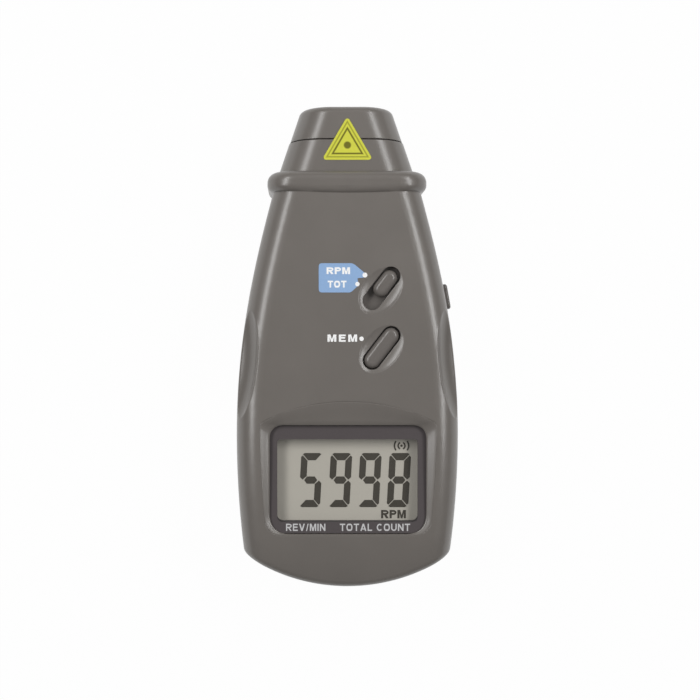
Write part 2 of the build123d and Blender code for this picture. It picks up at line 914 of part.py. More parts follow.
def mode_knob():
    """Thumb slide: domed pill in its slot, broad flange below the front and a socket for the stem."""
    level = crown_height(y_mode)
    low = flange_low(y_mode)
    cap = pill(knob_length, knob_width, low, level + knob_proud)
    cap = fillet(cap.faces().sort_by(Axis.Z)[-1].edges(), knob_round)
    reach = slot_length + mode_travel + 2 * flange_margin
    flange = pill(reach, slot_width + 2 * flange_margin, low, low + flange_thickness)
    socket = stem_width / 2 + fit_gap
    knob = cap + flange - block(-socket, socket, -socket, socket, low - 1, low + stem_width + fit_gap)
    return Pos(control_x, y_mode, 0) * Rot(0, 0, control_angle) * Pos(mode_travel / 2, 0, 0) * knob


def mem_switch():
    """Push switch on the board, bored for its plunger."""
    half = mem_switch_size / 2
    body = block(-half, half, -half, half, board_top, board_top + mem_switch_height)
    low = board_top + mem_switch_height - mem_plunger_depth - mem_travel - run_gap
    body -= rod(0, 0, low, board_top + mem_switch_height + 1, plunger_diameter + 2 * run_gap)
    return Pos(control_x, y_mem, 0) * body


def mem_plunger():
    """Plunger between the push button and its switch."""
    low = board_top + mem_switch_height - mem_plunger_depth
    return Pos(control_x, y_mem, 0) * rod(0, 0, low, flange_low(y_mem), plunger_diameter)


def mem_button():
    """Push button that fills its slot: crowned pill with a retaining flange."""
    low = flange_low(y_mem)
    length = slot_length - 2 * mem_gap
    width = slot_width - 2 * mem_gap
    cap = pill(length, width, low, crown_height(y_mem) - mem_sink)
    cap = fillet(cap.faces().sort_by(Axis.Z)[-1].edges(), knob_round)
    flange = pill(slot_length + 2 * flange_margin, slot_width + 2 * flange_margin, low, low + flange_thickness)
    return Pos(control_x, y_mem, 0) * Rot(0, 0, control_angle) * (cap + flange)


def side_button():
    """Side push button: rounded bar through the wall with a flange inside."""
    half_y = side_length / 2
    half_z = side_depth / 2
    inside = -wall - run_gap
    cap = block(inside - flange_thickness, side_proud, -half_y, half_y, -half_z, half_z)
    cap = fillet(cap.edges().filter_by(Axis.X), side_round)
    cap = fillet(cap.faces().sort_by(Axis.X)[-1].edges(), side_round / 2)
    half_y += flange_margin
    half_z += flange_margin
    return side_place() * (cap + block(inside - flange_thickness, inside, -half_y, half_y, -half_z, half_z))


def side_switch_front():
    """Distance from the wall's surface in to the side switch."""
    return -wall - 2 * run_gap - flange_thickness - side_travel - run_gap


def side_plunger():
    """Plunger between the side button and its switch."""
    outer_end = -wall - run_gap - flange_thickness
    inner_end = side_switch_front() - side_plunger_depth
    length = outer_end - inner_end
    pin = Pos((outer_end + inner_end) / 2, 0, 0) * Rot(0, 90, 0) * Cylinder(plunger_diameter / 2, length)
    return side_place() * pin


def side_switch():
    """Right-angle push switch hung under the edge of the board."""
    front = side_switch_front()
    half = side_switch_length / 2
    high = board_bottom - side_height
    body = block(front - side_switch_depth, front, -half, half, high - side_switch_height, high)
    depth = side_plunger_depth + side_travel + run_gap
    bore = Rot(0, 90, 0) * Cylinder(plunger_diameter / 2 + run_gap, depth + 2)
    return side_place() * (body - Pos(front - depth / 2 + 1, 0, 0) * bore)


def cell_x(index):
    """Middle of a cell across the bay."""
    return (index - (cell_count - 1) / 2) * (cell_diameter + cell_gap)


def nub_up(index):
    """Whether a cell's positive end points to the head; they alternate."""
    return index % 2 == 0


def battery_cell(index):
    """Cell: can with rounded rims and a positive nub."""
    can = lying_rod(0, 0, cell_length - cell_nub_length, cell_axis, cell_diameter)
    can = fillet(can.edges(), cell_rim)
    nub = lying_rod(0, cell_length - cell_nub_length - cell_rim, cell_length, cell_axis, cell_nub_diameter)
    cell = can + nub
    if nub_up(index):
        return Pos(cell_x(index), y_bay_high - contact_thickness - cell_length, 0) * cell
    turned = Rot(0, 0, 180) * cell
    return Pos(cell_x(index), y_bay_low + contact_thickness + cell_length, 0) * turned


def contact_tab_spots():
    """Where the two end contacts pass up through the deck."""
    last = cell_x(cell_count - 1) - contact_tab_shift
    return [-last, last]


def plate_height():
    """Heights of the contact plates: low and high edge."""
    return wall + bay_clearance, bay_roof


def battery_plates():
    """Sheet contacts: pairs at the head end, a pair and two singles with tabs at the chin end."""
    low, high = plate_height()
    half = contact_width / 2
    thick = contact_thickness
    plates = []
    for index in range(0, cell_count, 2):
        x0 = cell_x(index) - half
        x1 = cell_x(index + 1) + half
        plates.append(block(x0, x1, y_bay_high - thick, y_bay_high, low, high))
    for index in range(1, cell_count - 1, 2):
        x0 = cell_x(index) - half
        x1 = cell_x(index + 1) + half
        plates.append(block(x0, x1, y_bay_low, y_bay_low + thick, low, high))
    for index, tab_x in zip((0, cell_count - 1), contact_tab_spots()):
        x = cell_x(index)
        plate = block(x - half, x + half, y_bay_low, y_bay_low + thick, low, high)
        tab_half = contact_tab_width / 2
        low_y = y_bay_low
        tab = block(tab_x - tab_half, tab_x + tab_half, low_y, low_y + thick, high - 1, board_bottom)
        plates.append(plate + tab)
    return Compound(children=plates)


def contact_springs():
    """Bowed leaf springs that press on the flat end of each cell."""
    half = contact_width / 2 - spring_side_gap
    rise = cell_diameter / 2 - spring_foot_gap
    radius = (rise ** 2 + contact_space ** 2) / (2 * contact_space)
    across = Rot(0, 90, 0)
    bow = across * Cylinder(radius, 2 * half) - across * Cylinder(radius - contact_thickness, 4 * half)
    leaf = Pos(0, contact_space - radius, 0) * bow & block(-half, half, 0, 2 * radius, -radius, radius)
    springs = []
    for index in range(cell_count):
        if nub_up(index):
            springs.append(Pos(cell_x(index), y_bay_low + contact_thickness, cell_axis) * leaf)
        else:
            far = Pos(cell_x(index), y_bay_high - contact_thickness, cell_axis)
            springs.append(far * Rot(0, 0, 180) * leaf)
    return Compound(children=springs)


def grip_grooves():
    """Cross grooves and an arrow that points the way the door slides."""
    grooves = Part()
    bottom = door_sink + grip_groove_depth
    y_first = y_bay_high - 3 * grip_groove_pitch
    half = grip_groove_length / 2
    for index in range(grip_groove_count):
        y = y_first - index * grip_groove_pitch
        low = y - grip_groove_width / 2
        grooves += block(-half, half, low, low + grip_groove_width, -1, bottom)
    y_tip = y_first - (grip_groove_count + 4) * grip_groove_pitch
    side = 2 * grip_groove_pitch
    arrow = make_face(Polyline((-side, y_tip + side), (0, y_tip), (side, y_tip + side), close=True))
    return grooves + prism(arrow, -1, bottom)


def battery_door():
    """Sliding door: outer skin that follows the chin, stiffening core, hooks and finger grooves."""
    skin_top = door_sink + door_skin
    core_top = skin_top + door_core
    outer = body_form()
    skin = outer & block(-door_half, door_half, y_chin - 1, y_bay_high - door_gap, door_sink, skin_top)
    core_half = door_half - door_core_step
    core_low = y_bay_low + door_travel + door_gap
    door = skin + block(-core_half, core_half, core_low, y_bay_high - door_gap, skin_top, core_top)
    hook_low = skin_top + door_gap + lip_thickness + door_gap
    hook_top = hook_low + tab_thickness
    for y in door_tab_spots():
        for side in (-1, 1):
            inner = side * (core_half - tab_width)
            stem = side * core_half
            foot = side * (core_half + tab_reach)
            low = y - tab_length / 2
            high = y + tab_length / 2
            door += block(min(inner, stem), max(inner, stem), low, high, skin_top, hook_top)
            door += block(min(inner, foot), max(inner, foot), low, high, hook_low, hook_top)
    return door - grip_grooves()


def pan_screw(length):
    """Pan-head screw pointing up from its head, with a cross recess."""
    head = Pos(0, 0, screw_head_height / 2) * Cylinder(screw_head_diameter / 2, screw_head_height)
    head = fillet(head.edges().sort_by(Axis.Z)[0], screw_head_height * 0.6)
    slot = screw_head_diameter / 7
    reach = screw_head_diameter * 0.3
    cross = block(-reach, reach, -slot / 2, slot / 2, -1, screw_head_height * 0.6)
    cross += Rot(0, 0, 90) * cross
    shank = rod(0, 0, screw_head_height - 0.1, screw_head_height + length, screw_diameter * 0.9)
    return head - cross + shank


def case_screws():
    """Screws that draw the two shells together, deep in the back."""
    low = case_screw_seat - screw_head_height
    screw = pan_screw(case_screw_length)
    return Compound(children=[Pos(x, y, low) * screw for x, y in case_screw_spots])


def board_screws():
    """Screws that hold the main board to its posts."""
    low = board_bottom - screw_head_height
    screw = pan_screw(board_screw_length)
    return Compound(children=[Pos(x, y, low) * screw for x, y in board_screw_spots])


def aim_mark():
    """Triangular sticker on the front of the head, laid over the seam of the nose."""
    inradius = mark_side / (2 * math.sqrt(3))
    y = y_head + mark_from_collar + inradius
    triangle = Pos(0, y, 0) * Rot(0, 0, 90) * RegularPolygon(2 * inradius, 3)
    triangle = fillet(triangle.vertices(), mark_round)
    layer = head_form(-mark_thickness) - head_form()
    return layer & prism(triangle, split_height, 2 * crest_height)


parts = {
    "front_cover": front_cover(),
    "rear_cover": rear_cover(),
    "nose_cap": nose_cap(),
    "beam_window": beam_window(),
    "display_window": display_window(),
    "lcd_frame": lcd_frame(),
    "lcd_glass": lcd_glass(),
    "lcd_connectors": lcd_connectors(),
    "main_board": main_board(),
    "controller_chip": controller_chip(),
    "crystal": crystal(),
    "capacitors": capacitors(),
    "board_link": board_link(),
    "sensor_board": sensor_board(),
    "optic_block": optic_block(),
    "laser_module": laser_module(),
    "laser_lens": laser_lens(),
    "receiver_lens": receiver_lens(),
    "photo_sensor": photo_sensor(),
    "mode_switch": mode_switch(),
    "mode_slider": mode_slider(),
    "mode_knob": mode_knob(),
    "mem_switch": mem_switch(),
    "mem_plunger": mem_plunger(),
    "mem_button": mem_button(),
    "side_switch": side_switch(),
    "side_plunger": side_plunger(),
    "side_button": side_button(),
    "battery_plates": battery_plates(),
    "contact_springs": contact_springs(),
    "battery_door": battery_door(),
    "case_screws": case_screws(),
    "board_screws": board_screws(),
    "aim_mark": aim_mark(),
}
for cell in range(cell_count):
    parts[f"battery_cell_{cell + 1}"] = battery_cell(cell)

os.makedirs("parts", exist_ok=True)
for node, shape in parts.items():
    export_step(shape, f"parts/{node}.step")
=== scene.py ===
"""Finishes, prints and stage of a handheld photo tachometer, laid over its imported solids."""

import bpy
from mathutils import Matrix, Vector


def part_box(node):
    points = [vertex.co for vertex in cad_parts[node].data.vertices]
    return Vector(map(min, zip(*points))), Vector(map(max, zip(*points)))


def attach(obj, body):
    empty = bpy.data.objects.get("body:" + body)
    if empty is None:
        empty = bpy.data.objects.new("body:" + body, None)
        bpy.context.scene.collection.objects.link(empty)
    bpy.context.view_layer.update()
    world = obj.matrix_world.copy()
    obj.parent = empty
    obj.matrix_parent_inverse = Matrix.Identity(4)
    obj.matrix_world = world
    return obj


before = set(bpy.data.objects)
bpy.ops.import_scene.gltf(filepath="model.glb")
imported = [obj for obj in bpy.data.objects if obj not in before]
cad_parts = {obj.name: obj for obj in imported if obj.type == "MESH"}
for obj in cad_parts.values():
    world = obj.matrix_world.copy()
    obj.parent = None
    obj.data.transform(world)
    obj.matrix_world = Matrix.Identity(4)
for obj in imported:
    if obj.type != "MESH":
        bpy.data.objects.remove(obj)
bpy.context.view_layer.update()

import math

import bpy
import numpy as np
from mathutils import Vector

bl_info = {
    "name": "Photo tachometer",
    "version": (1, 0, 0),
    "blender": (4, 5, 0),
    "location": "View3D > Sidebar > Tachometer",
    "description": "Finishes, prints and stage of a handheld photo tachometer",
    "category": "Object",
}

HOUSING = "housing"
FRONT_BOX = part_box("front_cover")
MARK_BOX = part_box("aim_mark")
GLASS_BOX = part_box("lcd_glass")
PUSH_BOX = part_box("mem_button")
WINDOW_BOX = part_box("display_window")
CELL_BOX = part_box("battery_cell_1")
DISPLAY_Y = (GLASS_BOX[0].y + GLASS_BOX[1].y) / 2
PUSH_Y = (PUSH_BOX[0].y + PUSH_BOX[1].y) / 2
WINDOW_Y = (WINDOW_BOX[0].y + WINDOW_BOX[1].y) / 2

# Outlines round the window, measured from its middle: half the width, the low and the high side, the rise
# of the arc that closes the high side, and how far the low and the high corners run along their sides.
NO_ARC = 0.00001
SEAT = (0.0253, -0.0174, 0.0174, NO_ARC, 0.0054, 0.0032)
FIELD = (0.0295, -0.0193, 0.0187, 0.0094, 0.0065, 0.0016)
BORDER_EDGE = (0.0251, -0.0172, 0.0172, NO_ARC, 0.0052, 0.0031)
CLEAR_CORNERS = (0.0020, 0.0012)

# Heights of the window's seat and of the field's outline, and the stations on the slope between them.
SEAT_Z = 0.0342
FIELD_Z = 0.038
SLOPE_SHARES = (0, 0.07, 0.2, 0.35, 0.5, 0.65, 0.75)
SLOPE_SWELL = 0.04

# Stations of an outline, as shares of its arc's half width and of its sides, and the run of each.
ARC_SHARES = np.linspace(0.78, -0.78, 9)
SIDE_SHARES = np.linspace(0.22, 0.86, 6)
STATION_RUN = 0.0003

# Marks on the display, and words under it: places across the body and from the display's middle.
UNIT_BOX = (0.0149, -0.0113, 0.0080, 0.0027)
MONITOR_X, MONITOR_Y = 0.0175, 0.0108
MONITOR_STROKE, MONITOR_DOT = 0.0005, 0.0004
MONITOR_ARCS = ((0.0023, 40), (0.0011, 66))
LEGENDS = (("legend_left", "REV/MIN", (-0.01348, -0.01500, 0.0126, 0.00232)),
           ("legend_right", "TOTAL COUNT", (0.00868, -0.01500, 0.0225, 0.00232)))

# Prints beside the controls: places across the body and from the push button's middle. The field has a
# corner and its run in each row, a word its box, its spacing and how many layers lie under it, and a dot
# its place and radius.
MODE_FIELD = ((-0.00935, 0.01764, 0.0011), (0.00085, 0.01764, 0.0006), (0.00335, 0.01995, 0.0005),
              (0.0031, 0.0213, 0.0003), (0.003, 0.0222, 0.0002), (0.0052, 0.0224, 0.0005),
              (0.0058, 0.0235, 0.0005), (0.00157, 0.0270, 0.0009), (-0.00935, 0.0270, 0.0011))
WORDS = (("word_rpm", "RPM", (-0.0031, 0.0246, 0.0075, 0.0022), 0.16, 1),
         ("word_tot", "TOT", (-0.0035, 0.0203, 0.0060, 0.0022), 0.16, 1),
         ("word_mem", "MEM", (-0.00187, 0.0031, 0.0094, 0.0023), 0.3, 0))
DOTS = ((0.00539, 0.0232, 0.00078), (0.00297, 0.02032, 0.0007), (0.00425, 0.0029, 0.0007))

# Sticker: the full triangle's side over the sticker's width, since its tips are rounded off. Each line has
# its way in from the side, its width and its strength. The spot fades over one step and ends at so many.
FULL_TRIANGLE = 1.085
STICKER_LINES = ((0.00097, 0.0007, 0.75), (0.00205, 0.0008, 1.6))
SPOT_STEP, SPOT_STEPS = 0.00038, 3.6

# Cell: the share of its length at which the band starts, and how much of each end is bare.
BAND_SHARE = 0.68
BARE_LOW, BARE_HIGH = 0.0006, 0.002

# Stage, in metres: half the floor, and places and sizes of the lamps.
FLOOR_HALF = 6.0
LAMP_AIM = (0, 0, 0.02)
SIDE_LAMP_X, SIDE_LAMP_Y, SIDE_LAMP_Z = 0.44, 0.19, 0.56
SIDE_LAMP_SIZE = (0.68, 0.18)
HEAD_LAMP_AT, HEAD_LAMP_SIZE = (0, 0.55, 0.5), (0.4, 0.2)
SENSOR_WIDTH = 36.0


def colour(name, about, value):
    """A colour that the user can set."""
    return bpy.props.FloatVectorProperty(
        name=name, description=about, subtype="COLOR", size=3, min=0, max=1, default=value)


def length(name, about, value):
    """A length in metres that the user can set."""
    return bpy.props.FloatProperty(
        name=name, description=about, default=value, unit="LENGTH", precision=5)


def factor(name, about, value):
    """A share from 0 to 1 that the user can set."""
    return bpy.props.FloatProperty(
        name=name, description=about, default=value, subtype="FACTOR", min=0, max=1)


def number(name, about, value, unit="NONE"):
    """A number that the user can set, plain or of a unit."""
    return bpy.props.FloatProperty(name=name, description=about, default=value, unit=unit)


class TachCase(bpy.types.PropertyGroup):
    """Moulded case, its cap, its door and its controls."""

    plastic: colour("Plastic", "Colour of the moulded case", (0.1605, 0.1455, 0.1315))
    control: colour("Controls", "Colour of the slide and the buttons", (0.157, 0.143, 0.132))
    line: colour("Parting line", "Colour in the line between the shells", (0.02, 0.019, 0.018))
    roughness: factor("Roughness", "Roughness of the moulded texture", 0.27)
    polish: factor("Polish", "How much smoother the controls are than the case", 0.08)
    gloss: factor("Gloss", "Strength of the plastic's gloss, where 0.5 is plain plastic", 0.75)
    edge: length("Edge", "Radius of the softly lit edges of the case", 0.0004)
    grain: length("Grain", "Size of the moulded grain", 0.00035)
    split: length("Split height", "Height of the line between the shells", 0.018)
    line_width: length("Line width", "Width of the line between the shells", 0.00022)
    crest_y: length("Crest station", "Place along the body where the front is highest", -0.0199)
    crown_radius: length("Crown radius", "Radius of the front's crown towards the head", 0.7069)
    fall_radius: length("Fall radius", "Radius of the front's fall towards the chin", 0.418)


class TachSurround(bpy.types.PropertyGroup):
    """Slope that leads from the front down to the display window."""

    half_width: length("Half width", "Half the opening's width", 0.02498)
    half_length: length("Half length", "Half the opening's length", 0.0174)
    low_corner: length("Low corner", "Run of the opening's corners towards the chin", 0.0066)
    high_corner: length("High corner", "Run of the opening's corners towards the head", 0.0045)
    share: factor("Share", "Share of the sunk field's depth that the surround fills at the window", 0.45)
    tuck: length("Tuck", "How far its rim lies under the front", 0.00003)
    lip: length("Lip", "Size of its softened inner edge", 0.00014)


class TachWindows(bpy.types.PropertyGroup):
    """Display window, beam window and lenses."""

    clear_tint: colour("Display window", "Tint of the display window", (0.8, 0.8, 0.8))
    clear_cover: factor("Display window cover", "How much the display window hides", 0.012)
    dark_tint: colour("Beam window", "Tint of the beam window", (0.05, 0.004, 0.006))
    dark_cover: factor("Beam window cover", "How much the beam window hides", 0.82)
    lens_tint: colour("Lens", "Tint of the lenses", (0.95, 0.97, 0.97))


class TachDisplay(bpy.types.PropertyGroup):
    """Liquid crystal display and the print round it."""

    reading: bpy.props.StringProperty(
        name="Reading", description="Digits that the display shows", default="5998")
    glass: colour("Glass", "Colour of the unlit display", (0.456, 0.431, 0.374))
    ink: colour("Segments", "Colour of the dark segments", (0.024, 0.018, 0.007))
    legend: colour("Legend", "Colour of the words under the display", (0.58, 0.575, 0.58))
    bezel: colour("Bezel", "Colour of the frame round the display", (0.064, 0.056, 0.056))
    border: colour("Border", "Colour of the border printed on the window", (0.086, 0.074, 0.076))
    border_low: length("Border low", "Edge of the clear field towards the chin", -0.01358)
    border_high: length("Border high", "Edge of the clear field towards the head", 0.01288)
    border_left: length("Border left", "Edge of the clear field on the left", -0.02262)
    border_right: length("Border right", "Edge of the clear field on the right", 0.02240)
    digit_width: length("Digit width", "Width of a digit", 0.00695)
    digit_height: length("Digit height", "Height of a digit", 0.0175)
    digit_pitch: length("Digit pitch", "Distance from one digit to the next", 0.0095)
    upright: length("Upright stroke", "Width of the upright segments", 0.0021)
    level: length("Level stroke", "Width of the level segments", 0.00235)
    gap: length("Gap", "Gap between segments", 0.00028)
    last_x: length("Last digit across", "Middle of the last digit across the body", 0.01665)
    digits_y: length("Digits along", "Middle of the digits along the body", DISPLAY_Y - 0.0003)
    slant: number("Slant", "Lean of the digits, sideways per unit of height", 0.055)


class TachPrints(bpy.types.PropertyGroup):
    """Printed field, words and dots beside the controls, and the sticker."""

    blue: colour("Blue field", "Colour of the printed field", (0.272, 0.43, 0.69))
    white: colour("White print", "Colour of words and dots", (0.97, 0.97, 0.96))
    yellow: colour("Sticker", "Colour of the sticker", (0.66, 0.665, 0.064))
    olive: colour("Sticker line", "Colour of the lines on the sticker", (0.16, 0.15, 0.01))
    lift: length("Lift", "Height of the prints above the surface that carries them", 0.00003)
    layer: length("Layer", "Thickness of a printed layer", 0.00003)


class TachInside(bpy.types.PropertyGroup):
    """Pieces inside the case."""

    board: colour("Board", "Colour of the boards' mask", (0.02, 0.11, 0.045))
    chip: colour("Chip", "Colour of the chip and the capacitors", (0.02, 0.02, 0.021))
    nylon: colour("Nylon", "Colour of the switches, the plug and the optics' holder", (0.03, 0.03, 0.032))
    rubber: colour("Rubber", "Colour of the contact strips", (0.045, 0.045, 0.047))
    resin: colour("Resin", "Colour of the light sensor", (0.015, 0.015, 0.018))
    can: colour("Can", "Colour of the crystal's can", (0.72, 0.72, 0.71))
    brass: colour("Brass", "Colour of the laser's barrel", (0.72, 0.5, 0.2))
    plate: colour("Plate", "Colour of the cells' contacts", (0.66, 0.65, 0.62))
    zinc: colour("Zinc", "Colour of the screws", (0.5, 0.5, 0.5))
    sleeve: colour("Sleeve", "Colour of the cells' sleeve", (0.035, 0.04, 0.05))
    sleeve_band: colour("Sleeve band", "Colour of the band on the sleeve", (0.42, 0.27, 0.05))
    cell_end: colour("Cell end", "Colour of the cells' bare ends", (0.6, 0.59, 0.57))


class TachStage(bpy.types.PropertyGroup):
    """Camera, floor and lights."""

    floor: colour("Floor", "Colour of the floor", (0.62, 0.62, 0.62))
    camera_height: length("Camera height", "Height of the camera above the floor", 0.418)
    camera_x: length("Camera across", "Place of the camera across the body", -0.0153)
    camera_y: length("Camera along", "Place of the camera along the body", -0.00117)
    view_width: length("View width", "Width of the picture at the split of the case", 0.23333)
    lens_shift: number("Lens shift", "Sideways shift of the picture in its own widths", 0.0714)
    lamp_power: number("Side lamp power", "Power of each of the two side lamps", 2.75, unit="POWER")
    head_power: number("Head lamp power", "Power of the lamp beyond the head", 0.1, unit="POWER")
    world: number("World", "Brightness of the surroundings", 0.2)
    backdrop: factor("Backdrop", "Share of the floor's white that shadows leave alone", 0.98)


def rounded(corners, runs, steps=6):
    """Outline with rounded corners: each corner P becomes the parabola (1-t)^2 A + 2t(1-t) P + t^2 B,
    where A and B lie on its two sides at the corner's run from P."""
    point = np.array(corners, float)
    run = np.array(runs, float)[:, None]
    before = np.roll(point, 1, axis=0) - point
    after = np.roll(point, -1, axis=0) - point
    start = point + before / np.linalg.norm(before, axis=1)[:, None] * run
    stop = point + after / np.linalg.norm(after, axis=1)[:, None] * run
    t = np.linspace(0, 1, steps)[None, :, None]
    curve = (1 - t) ** 2 * start[:, None] + 2 * t * (1 - t) * point[:, None] + t ** 2 * stop[:, None]
    return curve.reshape(-1, 2)


def field_outline(half, low, high, rise, low_run, high_run):
    """Outline round the window: a rectangle with rounded corners, whose high side is a circular arc
    y = high + rise - R + sqrt(R^2 - x^2) with R = (half^2 + rise^2) / (2 rise). Its sides and its arc have
    stations at fixed shares, so that the points of two such outlines belong together."""
    x = half * ARC_SHARES
    radius = (half ** 2 + rise ** 2) / (2 * rise)
    arc = np.stack([x, high + rise - radius + np.sqrt(radius ** 2 - x ** 2)], axis=1)
    y = low + (high - low) * SIDE_SHARES
    side = np.stack([np.full_like(y, half), y], axis=1)
    corners = np.concatenate([[(half, low)], side, [(half, high)], arc, [(-half, high)],
                              side[::-1] * (-1, 1), [(-half, low)]])
    side_runs, arc_runs = [STATION_RUN] * len(SIDE_SHARES), [STATION_RUN] * len(ARC_SHARES)
    runs = [low_run, *side_runs, high_run, *arc_runs, high_run, *side_runs, low_run]
    return rounded(corners, runs, steps=9) + (0, WINDOW_Y)


def circle(x, y, radius, steps=28):
    """Outline of a circle: centre plus radius times (cos a, sin a)."""
    a = np.linspace(0, 2 * np.pi, steps, endpoint=False)
    return np.stack([x + radius * np.cos(a), y + radius * np.sin(a)], axis=1)


def arc_band(x, y, radius, width, middle, spread, steps=14):
    """Outline of a round stroke: out along radius + width/2 and back along radius - width/2,
    for angles within spread on each side of the middle one."""
    a = np.linspace(middle - spread, middle + spread, steps)
    out = np.stack([x + (radius + width / 2) * np.cos(a), y + (radius + width / 2) * np.sin(a)], axis=1)
    back = np.stack([x + (radius - width / 2) * np.cos(a), y + (radius - width / 2) * np.sin(a)], axis=1)
    return np.concatenate([out, back[::-1]])


def crown(y):
    """Height of the front: crest - R + sqrt(R^2 - (y - crest station)^2), with one R towards the head and
    another towards the chin."""
    case = bpy.context.scene.tach_case
    r = np.where(y > case.crest_y, case.crown_radius, case.fall_radius)
    return FRONT_BOX[1].z - r + np.sqrt(r * r - (y - case.crest_y) ** 2)


def level(z):
    """Surface at one height."""
    return lambda y: np.full_like(y, z)


def raised(outline, z):
    """Ring of points: an outline at one height, or with a height for each of its points."""
    return np.column_stack([outline, np.broadcast_to(z, len(outline))])


def layers(outlines, surface, under=0):
    """Rings of flat prints: each outline (x, y) is put on z = s(y) + lift + (layers under it), with s the
    surface that carries it, and carried up by one layer; the upper ring keeps its outline."""
    prints = bpy.context.scene.tach_prints
    outline = np.array(outlines, float)
    rings = np.repeat(outline[:, None], 2, axis=1)
    z = surface(rings[..., 1]) + prints.lift + under * prints.layer
    z[:, 1] += prints.layer
    return np.concatenate([rings, z[..., None]], axis=-1)


def ring_faces(shape, start=0, frame_like=False):
    """Faces of pieces made of rings of points, k pieces by m rings by n points: a quad between
    neighbours on two rings, and a cap on the first ring and on the last. In a piece like a picture
    frame the last ring joins the first instead."""
    k, m, n = shape
    index = np.arange(k * m * n).reshape(k, m, n) + start
    if frame_like:
        low, high, caps = index, np.roll(index, -1, 1), []
    else:
        low, high, caps = index[:, :-1], index[:, 1:], index[:, 0, ::-1].tolist() + index[:, -1].tolist()
    sides = np.stack([low, np.roll(low, -1, 2), np.roll(high, -1, 2), high], -1).reshape(-1, 4)
    return sides.tolist() + caps


def solid(name, stacks, finish, smooth=False, frame_like=False):
    """Closed mesh of one or more arrays of rings, with its material, at the origin and on the housing."""
    faces = []
    start = 0
    for stack in stacks:
        faces += ring_faces(stack.shape[:3], start, frame_like)
        start += stack[..., 0].size
    points = np.concatenate([stack.reshape(-1, 3) for stack in stacks])
    mesh = bpy.data.meshes.new(name)
    mesh.from_pydata(points.tolist(), [], faces)
    mesh.validate()
    mesh.polygons.foreach_set("use_smooth", np.full(len(mesh.polygons), smooth))
    mesh.materials.append(finish)
    obj = bpy.data.objects.new(name, mesh)
    bpy.context.scene.collection.objects.link(obj)
    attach(obj, HOUSING)


def half_ring(x, low, high, reach, stroke, side):
    """Bold half ring between two heights: out along an arc that leaves x by its reach, and back along the
    arc drawn in by the stroke; a flat run of a third of the reach comes before the arc."""
    a = np.linspace(-math.pi / 2, math.pi / 2, 11)
    half, middle, run = (high - low) / 2, (high + low) / 2, reach / 3
    out = np.stack([run + (reach - run) * np.cos(a), middle + half * np.sin(a)], axis=1)
    back = np.stack([run + (reach - run - stroke) * np.cos(a), middle + (half - stroke) * np.sin(a)], axis=1)
    band = np.concatenate([[(0, low)], out, [(0, high), (0, high - stroke)], back[::-1], [(0, low + stroke)]])
    return (band * (side, 1) + (x, 0))[::side]


def vee(w, s):
    """Outline of a bold V of height 1, for its width w and its stroke s. Its inner sides run from a notch
    at height d to the inner ends of the arms, 1.1 s wide, in parallel with the outer ones: with the foot
    1.1 s wide too, d = 1 - (w/2 - 1.1 s) / (w/2 - 0.55 s). Returns the outline and d."""
    arm, middle = 1.1 * s, w / 2
    notch = 1 - (middle - arm) / (middle - arm / 2)
    return np.array([(middle - arm / 2, 0), (middle + arm / 2, 0), (w, 1), (w - arm, 1), (middle, notch),
                     (arm, 1), (0, 1)]), notch


def bent(sign, w, s, bar):
    """Outline of a bold C or U of height 1: out along an ellipse and back along the one drawn in by the
    strokes. The C's ellipse is as high as the letter, and the U's lies under its two stems."""
    if sign == "C":
        a, tall, ends = np.linspace(0.24, 1.76, 17) * np.pi, 0.5, [np.zeros((0, 2))] * 2
    else:
        a, tall, ends = np.linspace(1, 2, 11) * np.pi, 0.42, [[(w, 1), (w - s, 1)], [(s, 1), (0, 1)]]
    out = np.stack([w / 2 * (1 + np.cos(a)), tall * (1 + np.sin(a))], axis=1)
    back = np.stack([w / 2 + (w / 2 - s) * np.cos(a), tall + (tall - bar) * np.sin(a)], axis=1)[::-1]
    return np.concatenate([out, ends[0], back, ends[1]])


